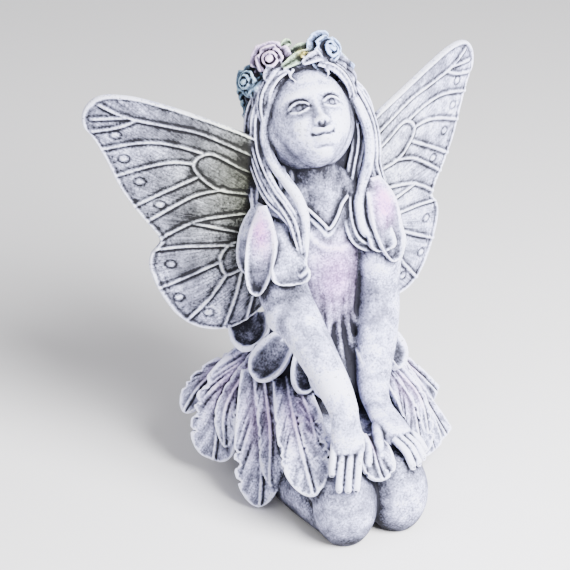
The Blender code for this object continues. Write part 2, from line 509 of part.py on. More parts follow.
def bodice(clay):
    """The pointed neckline, the high seam under it, and the sleeve petals."""
    line = [(-15, -9.5, 141), (-11.6, -12, 139), (-7.9, -14.9, 135.2), (-5, -16.2, 131.8), (-3.4, -16.7, 129.8),
            (-1.2, -16.5, 131), (2.0, -15.3, 135), (4.8, -13.4, 139), (9, -10, 141)]
    rope(clay, line, 1.1, 1.2, (0, -1, 0.2))
    rope(clay, [(-12, -14.4, 128), (-9, -16.2, 124), (-1.6, -17.6, 120), (6, -16.6, 120.5), (12, -14.2, 124)],
         1.5, 1.2, (0, -1, 0))
    for points, half, root, belly, rim, facing in SLEEVES:
        leaf(clay, points, half, facing, 2.6, cup=[-0.35, -0.2, 0.4], rim=rim, root=root, belly=belly)


# ------------------------------------------------------------------ fusing, thinning and cutting


def with_modifier(obj, kind, **settings):
    """Replaces the object's mesh by what one modifier makes of it."""
    mod = obj.modifiers.new(kind, kind)
    for key, value in settings.items():
        setattr(mod, key, value)
    graph = bpy.context.evaluated_depsgraph_get()
    mesh = bpy.data.meshes.new_from_object(obj.evaluated_get(graph))
    obj.modifiers.clear()
    old = obj.data
    obj.data = mesh
    bpy.data.meshes.remove(old)


def fuse(clay, name, voxel, rounds):
    """One skin round all the bodies, softened."""
    obj = bpy.data.objects.new(name, clay.mesh(name))
    bpy.context.scene.collection.objects.link(obj)
    with_modifier(obj, "REMESH", mode="VOXEL", voxel_size=voxel)
    with_modifier(obj, "SMOOTH", factor=0.5, iterations=rounds)
    return obj


def keep_outer_skin(obj):
    """Drops sealed hollows and crumbs: every shell but the one with the most vertices."""
    bm = bmesh.new()
    bm.from_mesh(obj.data)
    left = set(bm.verts)
    shells = []
    while left:
        shell_verts = {left.pop()}
        frontier = list(shell_verts)
        while frontier:
            vert = frontier.pop()
            for edge in vert.link_edges:
                other = edge.other_vert(vert)
                if other in left:
                    left.discard(other)
                    shell_verts.add(other)
                    frontier.append(other)
        shells.append(shell_verts)
    largest = max(shells, key=len)
    for shell_verts in shells:
        if shell_verts is not largest:
            bmesh.ops.delete(bm, geom=list(shell_verts), context="VERTS")
    bm.to_mesh(obj.data)
    bm.free()


def cut_base(obj):
    """Cuts the underside flat and stands the solid on z = 0, in metres and centred over its box."""
    bm = bmesh.new()
    bm.from_mesh(obj.data)
    everything = bm.verts[:] + bm.edges[:] + bm.faces[:]
    bmesh.ops.bisect_plane(bm, geom=everything, plane_co=(0, 0, FLOOR_SINK), plane_no=(0, 0, 1),
                           clear_inner=True)
    rim = [edge for edge in bm.edges if edge.is_boundary]
    bmesh.ops.holes_fill(bm, edges=rim)
    bmesh.ops.triangulate(bm, faces=bm.faces[:])
    co = np.array([vert.co for vert in bm.verts])
    middle = (co.min(axis=0) + co.max(axis=0)) / 2
    for vert in bm.verts:
        vert.co = ((vert.co.x - middle[0]) * MM, (vert.co.y - middle[1]) * MM, (vert.co.z - FLOOR_SINK) * MM)
    bmesh.ops.recalc_face_normals(bm, faces=bm.faces[:])
    bm.to_mesh(obj.data)
    bm.free()


def cast_material():
    material = bpy.data.materials.new("whitewashed_cast")
    material.use_nodes = True
    shader = material.node_tree.nodes["Principled BSDF"]
    shader.inputs["Base Color"].default_value = CAST_COLOUR
    shader.inputs["Roughness"].default_value = 0.8
    shader.inputs["Metallic"].default_value = 0.0
    return material


def figurine():
    limbs = Clay()
    for part in (torso, arms, legs):
        part(limbs)
    flesh = fuse(limbs, "flesh", FLESH_VOXEL, FLESH_SOFTENING)
    flesh.data.calc_loop_triangles()
    verts = np.array([vert.co for vert in flesh.data.vertices])
    faces = np.array([tri.vertices for tri in flesh.data.loop_triangles])
    bpy.data.objects.remove(flesh)
    clay = Clay()
    clay.bodies.append((verts, faces))
    for part in (hands, skull, hair, wreath, skirt, bodice):
        part(clay)
    wing(clay, -1)
    wing(clay, 1)
    obj = fuse(clay, "fairy_figurine", SKIN_VOXEL, SKIN_SOFTENING)
    keep_outer_skin(obj)
    with_modifier(obj, "TRIANGULATE")
    with_modifier(obj, "DECIMATE", ratio=TRIANGLES / len(obj.data.polygons))
    cut_base(obj)
    obj.data.shade_smooth()
    obj.data.materials.clear()
    obj.data.materials.append(cast_material())
    return obj


for leftover in list(bpy.data.objects):
    bpy.data.objects.remove(leftover)
figurine()
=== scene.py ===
"""Looks of the kneeling fairy figurine: one whitewashed casting, finely modelled.

The figure is built like its CAD solid, from closed, overlapping bodies that are fused into one skin, but
finely, with wing veins, feather barbs, strands of hair, roses and a face.  Each body carries its paint.
The skin is then thinned, its hollows and ridges are measured for the wash, and it takes the solid's place.
Sculpting is in millimetres: X runs to the figure's left, Y backward and Z up, with the face towards -Y.
"""

from contextlib import contextmanager

import bmesh
import bpy
import numpy as np
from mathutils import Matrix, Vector, kdtree


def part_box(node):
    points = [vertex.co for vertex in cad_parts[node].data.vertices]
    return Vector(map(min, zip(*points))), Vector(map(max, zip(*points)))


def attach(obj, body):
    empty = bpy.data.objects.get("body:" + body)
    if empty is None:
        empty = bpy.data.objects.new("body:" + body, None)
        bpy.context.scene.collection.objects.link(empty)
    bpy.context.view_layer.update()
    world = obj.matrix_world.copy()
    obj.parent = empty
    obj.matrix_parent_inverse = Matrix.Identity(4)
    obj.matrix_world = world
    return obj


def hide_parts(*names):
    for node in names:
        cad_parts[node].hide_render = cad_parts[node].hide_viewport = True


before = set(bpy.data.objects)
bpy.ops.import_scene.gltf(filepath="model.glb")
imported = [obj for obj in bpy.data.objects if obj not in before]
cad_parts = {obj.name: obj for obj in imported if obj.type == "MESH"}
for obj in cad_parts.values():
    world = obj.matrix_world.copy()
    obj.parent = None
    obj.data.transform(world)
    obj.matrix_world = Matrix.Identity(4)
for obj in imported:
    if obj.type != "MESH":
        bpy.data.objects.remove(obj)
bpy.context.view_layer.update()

MM = 0.001
NODE = "fairy_figurine"

# Fineness of the sculpt
STEP = 0.5             # spacing of the points along and across each body, mm
WING_STEP = 0.6
FLESH_VOXEL = 0.7      # limbs, torso and folds are fused on their own, so that they can be softened
FLESH_SOFTENING = 14   # rounds of smoothing on them
SKIN_VOXEL = 0.42      # the whole figure
SKIN_SOFTENING = 2
TRIANGLES = 197000
FLOOR_SINK = 0.6       # the lowest part of the sculpt that the flat base cuts away, mm

# Driving dimensions, mm, as in the CAD solid
HEAD_CENTRE = np.array([-4.2, 4.0, 175.8])
HEAD_PITCH = np.radians(41)          # the face looks up
HEAD_YAW = np.radians(10)            # and a little to her right
HEAD_ROLL = np.radians(6)            # and leans to her right
SKULL = (19.0, 20.5, 23.6)           # half width, half depth, half height
WREATH_TILT = np.radians(35)         # the wreath sits back like a hair band
WREATH_CENTRE = (-4.0, 15.0)         # forward and up from the head's centre
WREATH_RADII = (22.0, 19.5)          # across the head, front to back
SKIRT_CENTRE = (2.0, -9.0)
SKIRT_SIDES = 96
LOBED = 9.0                          # feathers with a half width over this, mm, have a second lobe
KNEES = {-1: (-17.5, -68.0), 1: (9.2, -65.7)}     # right knee, left knee
ANKLES = {-1: -26.0, 1: 20.0}
WING_THICK = 3.0
WING_ROOT_THICK = 6.2
WING_ROUND, WING_REACH = 330, 95     # lengths, rounded up, round the outline and from the hub to the tip

FRONT = np.array([-np.sin(HEAD_YAW) * np.cos(HEAD_PITCH), -np.cos(HEAD_YAW) * np.cos(HEAD_PITCH),
                  np.sin(HEAD_PITCH)])
LEVEL = np.array([np.cos(HEAD_YAW), -np.sin(HEAD_YAW), 0.0])
LEFT = LEVEL * np.cos(HEAD_ROLL) + np.cross(FRONT, LEVEL) * np.sin(HEAD_ROLL)
UP = np.cross(FRONT, LEFT)
WREATH_FRONT = FRONT * np.cos(WREATH_TILT) + UP * np.sin(WREATH_TILT)
WREATH_UP = UP * np.cos(WREATH_TILT) - FRONT * np.sin(WREATH_TILT)

# Wing outline as (out from the midline, height), from the shoulder over the tip to the lower root
WING_HUB = np.array([6.0, 124.0])
WING_RIM = [
    (14, 160), (32, 171), (54.8, 181), (69.1, 186), (80, 188.6), (90.3, 188), (96, 182.5), (97, 174.5),
    (92.9, 167.7), (88.5, 158), (83.2, 144.5), (76.5, 133), (68.5, 120.6), (72.2, 113), (72.6, 105.5),
    (68.9, 94.5), (62, 83), (52.5, 76.6), (41.2, 76.2), (31.2, 81.5), (20, 93),
]
FORE_CELL = [(14, 149), (31.6, 153.8), (47.2, 162.4), (54.2, 156.5), (45.4, 146), (31.7, 142.7), (14, 138)]
HIND_CELL = [(20, 118), (36.6, 119.7), (43.6, 112.5), (41.5, 103.8), (34.9, 105.8), (20, 111), (20, 118)]
VEINS = [
    [(14, 152), (31.6, 162), (50.2, 171.8), (63.4, 175.3), (79.6, 178.9), (90, 184)],
    [(79.6, 178.9), (93.5, 177.4)], [(76, 178), (83.4, 174.2), (93, 171.6)], FORE_CELL,
    [(51, 163), (59.9, 166.1), (69.4, 167.7), (78.9, 166.6), (91, 163)],
    [(54.2, 157.8), (62.4, 158.4), (72, 156.2), (86, 150.5)],
    [(52.8, 151.3), (60.2, 147.3), (70, 141.7), (79, 136)],
    [(41.8, 145.3), (50.4, 143.7), (57.9, 140.2), (74.5, 128.5)],
    [(18, 134), (32.6, 133.5), (50.6, 130.9), (60, 126.6), (68.5, 120.7)],
    [(16, 121), (36.1, 124.6), (49.4, 127.8), (54.4, 129)],
    [(71, 115.5), (60, 117.3), (51.6, 117.8), (38, 118)], HIND_CELL,
    [(43.6, 110), (51.7, 105.7), (60.2, 101.1), (71, 95.5)],
    [(41.5, 103), (47.6, 92.9), (52, 87.3), (59, 79)], [(35, 104), (37.6, 92.2), (42.5, 77)],
    [(27, 106), (30.5, 91), (33, 80)],
]
WING_SPOTS = [(84.5, 170.3), (81.5, 159.2), (75.6, 148.5), (67.9, 137.6), (64, 108.5), (61, 92), (48.8, 84.5)]

# Locks of hair: points, half widths, half thicknesses, the way the flat side looks, strands
SIDE_LOCKS = [
    # her right side, front to back
    ([(-15, 7, 195), (-20.5, 5, 188), (-23.6, 4.5, 181), (-25, 4, 173), (-25, 2, 166), (-24.5, -4, 160),
     (-21.7, -12, 154), (-18.9, -18, 148), (-17.2, -21, 140), (-17.4, -23, 130), (-17.6, -24, 117.5)], 2.4,
     2.4, [(-0.6, -0.8, 0.2), (-0.8, -0.6, 0), (-0.5, -0.9, 0.2), (0, -1, 0)], 0),
    ([(-17, 10, 193), (-23, 9, 187), (-27, 8, 180), (-28, 7, 172), (-27.8, 5, 164), (-27.5, -1, 157),
     (-26.3, -9, 150), (-23.8, -15, 144), (-21.4, -19.5, 137), (-20.2, -22, 128), (-18.6, -23.5, 118)], 2.8,
     2.4, [(-0.7, -0.7, 0.2), (-0.8, -0.6, 0), (-0.5, -0.8, 0.3)], 4),
    ([(-20, 15, 190), (-25, 13, 184), (-28.3, 12, 176), (-29, 10, 167), (-29, 6, 158.5), (-29, -2, 151),
     (-27.5, -9, 145), (-24.5, -15, 140), (-22, -18.5, 134)], 2.7, 2.4, [(-0.9, -0.4, 0.2), (-1, -0.2, 0),
     (-0.6, -0.5, 0.6)], 4),
    ([(-19, 19.5, 187), (-23, 17.7, 180), (-25.5, 16.2, 170), (-26.5, 12.7, 158), (-28, 8.4, 148),
     (-30, 3.6, 141), (-32, 0, 136)], 3.0, 2.6, [(-1, 0, 0), (-1, -0.1, 0.3)], 4),
    ([(-18, 21.5, 186), (-22.5, 21, 176), (-24.5, 19, 162), (-25.6, 16, 148), (-28, 13.3, 135),
     (-30.5, 11, 124), (-32, 9, 114)], 4.2, 3.2, (-1, 0.3, 0), 5),
    # her left side, front to back
    ([(12, 5, 191), (16.5, 0.5, 183), (19.3, -3, 176), (21, -5, 169), (21.4, -6.5, 160.5), (20, -8, 153.5),
     (16.5, -10, 145), (13.5, -13, 138), (12.4, -17, 131), (14.2, -19, 126), (18.6, -20.3, 123),
     (24, -20.3, 121)], 2.4, 2.4, [(0.4, -0.9, 0.2), (0.2, -1, 0), (0, -1, 0.2), (0, -0.9, 0.4)], 0),
    ([(11.5, 9, 189), (15, 5, 182), (17.4, 1.5, 175), (18.8, 0, 167), (18, -1, 159.5), (15.4, -3, 152),
     (12.6, -6, 144), (9.8, -10, 136.5), (8.6, -15.5, 129), (11, -18, 122.5), (17, -19.7, 118.6),
     (24.5, -19.8, 116.3)], 2.6, 2.4, [(-0.2, -0.9, 0.2), (-0.2, -1, 0), (0, -1, 0.2), (0, -0.9, 0.4)], 3),
    ([(14, 10, 192), (20, 6, 184), (24, 2.5, 175), (26, 0, 166), (26.5, -1.5, 158), (26.5, -1.5, 151),
     (28, -3, 145), (31, -4.5, 139)], 3.0, 2.6, (0.6, -0.8, 0.1), 4),
    ([(16, 14, 190), (24, 11, 180), (27.5, 9, 168), (28, 9, 156), (28, 9, 144), (30, 8, 130), (30, 8, 116)],
     4.2, 3.2, (1, 0.2, 0), 5),
]

# Skirt feathers: root, middle, tip, half width, where along it is widest, the way the face looks; from her
# right side round the front to her left side.  The back is filled in by a loop.
FEATHERS = [
    ((-22, 11, 64), (-46.4, 22, 45.9), (-57.9, 24, 29.5), 6.4, 0.70, (-0.6, -0.45, 0.65)),
    ((-24, 10, 65), (-45.6, 7.4, 42.5), (-50, 7.4, 11), 12.0, 0.78, (-0.62, -0.55, 0.56)),
    ((-32.2, -2.7, 59.4), (-37.2, -17.4, 32), (-42.5, -28, 2.2), 11.8, 0.66, (-0.52, -0.68, 0.5)),
    ((-22.2, -15.3, 58.4), (-29.1, -45.5, 46.8), (-33.3, -67.6, 26.2), 11.5, 0.68, ((-0.35, -0.6, 0.7),
     (-0.6, -0.6, 0.55))),
    ((-3, -56, 44), (-4, -68, 42), (-4.5, -77.5, 32.5), 8.0, 0.72, (0, -0.6, 0.8)),
    ((25, -18, 57), (32, -31, 42), (37, -36, 16), 10.0, 0.76, (0.35, -0.75, 0.55)),
    ((30, -9, 59), (38.5, -20, 38), (46, -28, 11.5), 8.0, 0.90, (0.4, -0.75, 0.5)),
    ((34, -3, 58), (46.5, -13, 33), (56.9, -20, 13.3), 5.4, 0.94, (0.3, -0.75, 0.6)),
    ((32, 4, 58), (48, -1, 41), (59.9, -3, 26.4), 4.8, 0.94, (0.2, -0.7, 0.7)),
    ((23, 9, 60), (46, 21, 38), (55, 22, 18), 8.5, 0.76, (0.8, 0.3, 0.5)),
]

# Cupped petals of the upper tier, in the same order
CUPS = [
    ((-25.3, 14, 79.4), (-31, 8, 72.9), (-37.8, 1, 67.9), 9.4, (-0.3, -0.5, 0.8)),
    ((-17.6, -6, 74.2), (-26.6, -7.4, 65), (-36, -9, 57.2), 8.4, (-0.45, -0.6, 0.66)),
    ((-12.6, -13.6, 72), (-17.4, -23, 62.5), (-20.9, -31, 56.2), 6.4, (-0.35, -0.75, 0.55)),
    ((-9, -18, 69), (-11, -28, 62), (-12, -36, 55), 7.0, (-0.1, -0.8, 0.6)),
    ((12, -16, 70), (14, -25, 63), (14, -31, 56), 7.0, (0.1, -0.75, 0.6)),
    ((16, -12, 74), (25, -18, 66), (29, -24, 56), 8.0, (0.5, -0.7, 0.5)),
    ((17, -2, 74), (26, -8, 66), (33, -15, 53), 6.6, (0.6, -0.45, 0.65)),
    ((12, 2, 76), (27, 12, 68), (35, 16, 58), 7.5, (0.7, 0.2, 0.7)),
]

# Sleeve petals: points, half width, width at the root and where it is widest, rim along the length, the way
# the face looks, tint
SLEEVES = [
    ([(-31.5, -8, 142), (-35, -15, 134), (-36.5, -18.2, 123), (-38.8, -18.7, 105)], 6.9, 0.3, 0.6,
     (0.2, 0.9, 1.7, 1.9), (-0.66, -0.75, 0.1), "pink"),
    ([(-29, 0, 140), (-36, -2, 130), (-38.2, -4, 120), (-37.6, -6, 110)], 4.6, 0.6, 0.6, 1.0,
     (-0.95, -0.2, 0.1), None),
    ([(-19.5, -8.5, 138), (-24, -18.2, 129.6), (-26, -24.4, 119.6), (-26.6, -27.3, 110.8)], 8.4, 0.6, 0.85,
     (0, 0, 0.3, 1.4), (-0.2, -1, 0.2), None),
    ([(-25.5, -22.6, 118.5), (-23.6, -26.4, 114.2), (-21, -28.6, 114.2), (-18.6, -29.6, 118.6)], 3.0, 0.5,
     0.35, 0.3, (-0.3, -1, -0.2), None),
    ([(22.4, -8.5, 147), (24.2, -15.8, 137.8), (24.3, -20, 125.3), (26, -23.2, 111.2)], 8.2, 0.55, 0.5,
     (0.2, 0.9, 1.5, 1.8), (0.2, -0.97, 0.1), "pink"),
    ([(27, 0, 141), (33, -2, 132), (35.5, -5, 120), (35.5, -8, 108)], 7.0, 0.6, 0.6, 1.2, (0.95, -0.1, 0.1),
     None),
    ([(16, -10, 138), (19, -17, 131), (20.5, -20.8, 124), (20.6, -22.4, 117)], 6.5, 0.6, 0.8,
     (0, 0, 0.6, 1.4), (0.0, -1, 0.2), None),
]

# Roses on the wreath: angle from the front, rise above the ring, radius, tint
ROSES = [
    (-116, 1.0, 5.0, "teal"), (-98, 1.0, 3.6, "teal"), (-64, -0.5, 7.6, "teal"), (-30, -0.5, 8.8, "rose"),
    (31, -1.0, 9.0, "blue"), (70, -1.0, 5.2, "blue"),
]

# Turns of a rose's petals, in shares of its radius: how many, how far out and how high root, belly and tip
# lie, half width, how upright they stand, how their sides bend, offset
ROSE_TURNS = [
    (5, (0.30, 0.80, 1.08), (-0.12, 0.10, 0.04), 0.58, 0.3, -0.1, 0.0),
    (4, (0.22, 0.50, 0.70), (0.0, 0.36, 0.52), 0.42, 0.55, -0.2, 0.4),
    (3, (0.12, 0.26, 0.38), (0.10, 0.54, 0.76), 0.32, 0.75, -0.35, 0.1),
    (2, (0.02, 0.08, 0.13), (0.20, 0.60, 0.88), 0.20, 0.9, -0.5, 0.3),
]

# Leaves on the wreath: angle and rise of the root, angle and rise of the tip, half width, tint
LEAVES = [
    (-100, 3, -118, 0, 2.6, "teal"), (-90, -3, -108, -6, 2.8, "teal"), (-84, 4, -100, 7, 2.6, "teal"),
    (-50, -5, -74, -8, 2.8, "teal"), (-22, -6, -48, -9, 2.6, None), (-24, -8, 20, -4, 3.0, "green"),
    (-2, -10, 34, -4, 2.8, None), (-16, 3, -2, 6, 2.0, "green"), (-8, 0, 14, -1, 2.2, "green"),
    (46, -3, 70, -4, 3.4, None), (52, 2, 76, 1, 3.2, "green"), (58, -6, 84, -9, 3.4, None),
    (92, 1, 106, -4, 2.7, "green"),
]

# Rings of the skirt under its petals, from the waist down: height, half width, half depth, how far back
SKIRT = [
    (80, 15, 9, -9), (74, 17.5, 11.5, -8.5), (66, 23.5, 15.5, -6.5), (56, 30.5, 21.5, -5), (44, 35, 27.5, -6),
    (30, 36, 32, -6), (22, 33, 29, -5), (20, 26, 24, -5),
]

# Folds that hang from the bodice: across at top, middle and bottom, girth; and in the lap: across at top and
# bottom, girth
BODICE_FOLDS = [
    (-12, -8.5, -7, 1.5), (-7, -5.5, -3.5, 1.0), (-2.5, -1, -1, 1.3), (2, 2.5, 1.5, 0.9), (6.5, 5, 4.5, 1.4),
    (11.5, 9, 7, 1.2),
]
LAP_FOLDS = [(-8, -14, 1.5), (-3.5, -6, 1.7), (1, 1.5, 1.5), (5, 8, 1.7), (9, 15, 1.6)]

# Paint: how much whitewash stays on flat surfaces, how strong the fine lines are, and the washes of colour
COVER = {"skin": 0.72, "hair": 0.6, "wing": 0.45, "petal": 0.66, "cup": 0.52, "sleeve": 0.68, "bodice": 0.7,
         "bloom": 0.3}
LINE_STRENGTH = {"hair": 1.5, "wing": 1.0, "petal": 0.7}
TINTS = {None: (1, 1, 1), "pink": (1, 0.48, 0.8), "rose": (1, 0.76, 0.85), "blue": (0.62, 0.82, 1),
         "teal": (0.42, 0.62, 0.62), "green": (0.74, 0.96, 0.48), "gold": (1, 0.84, 0.16),
         "moss": (0.8, 0.82, 0.36)}

# Columns of a body's paint: whitewash, colour and how much of it, place across the fine lines, their strength
WHITE, COLOUR, TINTED, LINES, LINED = 0, slice(1, 4), 4, 5, 6


# ---- curves and closed bodies


def curve(points, count):
    """Catmull-Rom curve through the points, with count points on it."""
    p = np.asarray(points, float)
    if p.ndim == 1:
        p = p[:, None]
    ends = np.vstack([2 * p[0] - p[1], p, 2 * p[-1] - p[-2]])
    t = np.linspace(0, len(p) - 1, count)
    i = np.minimum(t.astype(int), len(p) - 2)
    f = (t - i)[:, None]
    a, b, c, d = ends[i], ends[i + 1], ends[i + 2], ends[i + 3]
    return 0.5 * (2 * b + (c - a) * f + (2 * a - 5 * b + 4 * c - d) * f ** 2
                  + (3 * b - a - 3 * c + d) * f ** 3)


def turns(count):
    """Angles of so many points, spread evenly round a circle."""
    return (np.arange(count) + 0.5) * 2 * np.pi / count


def globe(count):
    """Unit vectors over a sphere, ring by ring from pole to pole."""
    lat = np.linspace(0, np.pi, count)[:, None]
    lon = turns(2 * count)
    return np.sin(lat) * np.cos(lon), np.sin(lat) * np.sin(lon), np.cos(lat) * np.ones(2 * count)


def unit(v):
    v = np.asarray(v, float)
    return v / np.maximum(np.linalg.norm(v, axis=-1, keepdims=True), 1e-9)


def bell(x, width, power=2):
    """A smooth hump, 1 at x = 0, and flatter on top the higher the power."""
    return np.exp(-np.abs(x / width) ** power)


def spread(value, count):
    """One number, or several spread evenly along a length, as count numbers."""
    if np.isscalar(value):
        return np.full(count, float(value))
    return curve(value, count)[:, 0]


def steps(length, least=5, step=STEP):
    """How many points a length takes."""
    return max(least, int(round(length / step)) + 1)


def length_of(points):
    return float(np.sum(np.linalg.norm(np.diff(curve(points, 24), axis=0), axis=1)))


def frames(path, facing):
    """Outward and sideways unit vectors along a path, from one or more facing directions."""
    tangent = unit(np.gradient(path, axis=0))
    out = np.asarray(facing, float)
    out = np.tile(out, (len(path), 1)) if out.ndim == 1 else curve(out, len(path))
    out = unit(out - tangent * np.sum(out * tangent, axis=1, keepdims=True))
    return out, np.cross(tangent, out)


def loft(rings):
    """Vertices and triangles of the closed body through a stack of closed rings."""
    rings = np.asarray(rings, float)
    count, around = rings.shape[:2]
    index = np.arange(count * around).reshape(count, around)
    a, d = index[:-1], index[1:]
    b, c = np.roll(a, -1, axis=1), np.roll(d, -1, axis=1)
    faces = [np.stack([a, b, c], -1).reshape(-1, 3), np.stack([a, c, d], -1).reshape(-1, 3)]
    k = np.arange(around // 2 - 1)
    for row, order in ((index[0], [3, 2, 1, 0]), (index[-1], [0, 1, 2, 3])):
        strip = np.stack([row[k], row[k + 1], row[around - 2 - k], row[around - 1 - k]], -1)[:, order]
        faces += [strip[:, [0, 1, 2]], strip[:, [0, 2, 3]]]
    return rings.reshape(-1, 3), np.concatenate(faces)


class Clay:
    """A heap of closed, overlapping bodies, to be fused into one skin, and the paint on each."""

    def __init__(self):
        self.verts = []
        self.faces = []
        self.paint = []
        self.count = 0

    def add_mesh(self, verts, faces, paint):
        self.verts.append(verts)
        self.faces.append(faces + self.count)
        self.paint.append(paint)
        self.count += len(verts)

    def add(self, rings, kind, tint=None, strength=1.0, cover=0.0, lines=None):
        """Adds a body of one kind, with cover on top of the kind's own, and lines in mm across them.

        strength, cover and lines may be grids over the rings.
        """
        verts, faces = loft(rings)
        shape = np.shape(rings)[:2]
        paint = np.zeros((len(verts), LINED + 1))
        paint[:, WHITE] = np.broadcast_to(COVER[kind] + cover, shape).ravel()
        paint[:, COLOUR] = TINTS[tint]
        paint[:, TINTED] = np.broadcast_to(strength if tint else 0.0, shape).ravel()
        if lines is not None:
            paint[:, LINES] = np.broadcast_to(lines, shape).ravel()
            paint[:, LINED] = LINE_STRENGTH[kind]
        self.add_mesh(verts, faces, paint)

    def add_plate(self, front, back, kind, tint, **grids):
        """Adds a thin body from grids of points over its two faces, and grids of paint for both."""
        both = {name: np.concatenate([grid, grid[:, ::-1]], axis=1) for name, grid in grids.items()}
        self.add(np.concatenate([front, back[:, ::-1]], axis=1), kind, tint, **both)

    def arrays(self):
        return np.concatenate(self.verts), np.concatenate(self.faces), np.concatenate(self.paint)


def sampled(points, facing, least=5):
    """A curve through the points at the sculpt's spacing, with its outward and sideways unit vectors."""
    path = curve(points, steps(length_of(points), least))
    return path, *frames(path, facing)


def tube(clay, path, wide, thick, out, side, kind, **paint):
    """An oval section swept along sampled points."""
    angle = turns(2 * max(6, int(np.pi * max(wide.max(), thick.max()) / STEP)))
    if kind == "hair":
        paint["lines"] = angle * wide.max()
    across = side[:, None] * (wide[:, None] * np.cos(angle))[..., None]
    outward = out[:, None] * (thick[:, None] * np.sin(angle))[..., None]
    clay.add(path[:, None] + across + outward, kind, **paint)


def rope(clay, points, wide, thick, facing, kind="skin", **paint):
    """A limb or lock: an oval swept along a curve, `wide` across and `thick` towards `facing`."""
    path, out, side = sampled(points, facing)
    tube(clay, path, spread(wide, len(path)), spread(thick, len(path)), out, side, kind, **paint)


def tress(clay, points, wide, thick, facing, strands=5, seed=0):
    """A lock of hair: a flat core with strands laid over it, which drift a little, or one smooth roll."""
    if not strands:
        rope(clay, points, wide, thick, facing, "hair", cover=0.02)
        return
    path, out, side = sampled(points, facing)
    wide, thick = spread(wide, len(path)), spread(thick, len(path))
    tube(clay, path, 0.86 * wide, 0.78 * thick, out, side, "hair", cover=-0.3)
    random = np.random.default_rng(seed)
    u = np.linspace(0, 1, len(path))
    for k in range(strands):
        place = np.radians(168 - 156 * k / max(1, strands - 1))
        drift = random.uniform(0.1, 0.26) * np.sin(2 * np.pi * (random.uniform(0.5, 1.1) * u
                                                                + random.uniform()))
        across, outward = np.cos(place + drift), np.sin(place + drift)
        shift = side * (wide * across)[:, None] + out * (thick * outward)[:, None]
        line = path + random.uniform(0.74, 0.86) * shift
        girth = random.uniform(0.75, 1.3) * (0.34 * thick + 0.1)
        away = side * across[:, None] + out * outward[:, None]
        tube(clay, line, 0.85 * girth, girth, *frames(line, away), "hair", cover=0.05)


def ball(clay, centre, radii, axes=np.eye(3), kind="skin", **paint):
    """An ellipsoid with radii along three unit rows."""
    local = np.stack(globe(steps(np.pi * max(radii), least=9)), -1) * radii
    clay.add(np.asarray(centre, float) + local @ np.asarray(axes), kind, **paint)


def petal_width(u, root, belly, point):
    """Width along a petal, as a share of its widest: 1 at `belly`, closing to a tip."""
    rising = root + (1 - root) * np.sin(np.pi / 2 * np.clip(u / belly, 0, 1))
    closing = np.clip(1 - (np.clip(u - belly, 0, 1) / (1 - belly)) ** 2, 0, 1) ** point
    return rising * closing


def leaf(clay, points, half, facing, thick, cup=0.0, rim=0.0, rim_wide=1.2, root=0.6, belly=0.6, point=0.5,
         relief=None, kind="bloom", tint=None, centre_tint=0.0, rim_white=0.3):
    """A petal or feather on a bent midline, hollowed by `cup`, with a raised rim and relief on its face.

    relief(u, v, run, width) gives the height of the face, how far the outline draws in, and the place
    across the fine lines.
    """
    path, out, side = sampled(points, facing, least=7)
    count = len(path)
    u, v = np.meshgrid(np.linspace(0, 1, count), np.linspace(-1, 1, steps(2 * half, least=7)), indexing="ij")
    width = half * petal_width(u, root, belly, point)
    run = u * length_of(points)
    high, grids = 0.0, {}
    if relief is not None:
        high, draw, lines = relief(u, v, run, width)
        width = width * (1 - draw)
        if lines is not None:
            grids["lines"] = lines
    edge = np.minimum((1 - np.abs(v)) * width, run[-1] - run)
    lift = spread(cup, count)[:, None] * v ** 2 * width
    rim = spread(rim, count)[:, None]
    high = high * np.clip(edge / 0.8, 0, 1) + rim * bell(edge, rim_wide)
    middle = path[:, None] + side[:, None] * (v * width)[..., None]
    front = middle + out[:, None] * (lift + thick / 2 + high)[..., None]
    back = middle + out[:, None] * (lift - thick / 2)[..., None]
    grids["strength"] = centre_tint * bell(v, 0.62) * bell(u - 0.36, 0.24) if centre_tint else np.ones_like(u)
    grids["cover"] = rim_white * np.clip(rim, 0, 1) * bell(edge, 0.9 * rim_wide)
    clay.add_plate(front, back, kind, tint, **grids)


# ---- limbs and dress under the petals


def torso(clay):
    path = [(0, -18, 36), (0, -15, 52), (0, -11, 66), (0, -9, 79), (0, -8.5, 92), (0, -7.5, 106),
            (0, -7, 118), (-0.5, -5.5, 128), (-1, -4, 137), (-1.5, -2, 145)]
    rope(clay, path, [26, 25, 20, 16.5, 17.5, 20, 22, 19.5, 14, 9.5],
         [18, 15, 11.5, 10, 10.5, 11, 11, 10.5, 9.5, 8.5], (0, -1, 0), "bodice")
    # the neck, then each shoulder and the cord of the neck above it
    rope(clay, [(0, -5, 128), (-1.5, -2.5, 143), (-3, 3, 160)], [11.5, 10.6, 11.5], [9.5, 9.6, 10.5],
         (0, -1, 0))
    for side in (-1, 1):
        rope(clay, [(side * 4, -0.5, 150), (side * 11, -2.5, 142), (side * 17, -4.5, 137.5),
                    (side * 23, -6, 132)], [6, 7, 7.5, 8], [6, 7.5, 8, 8.5], (0, -1, 0))
        rope(clay, [(side * 6 - 2, 0, 158), (side * 5.6, -7.4, 148), (side * 2.4, -12, 138)], [2.2, 2.0, 1.2],
             [1.6, 1.4, 1.0], (0, -1, 0.3))


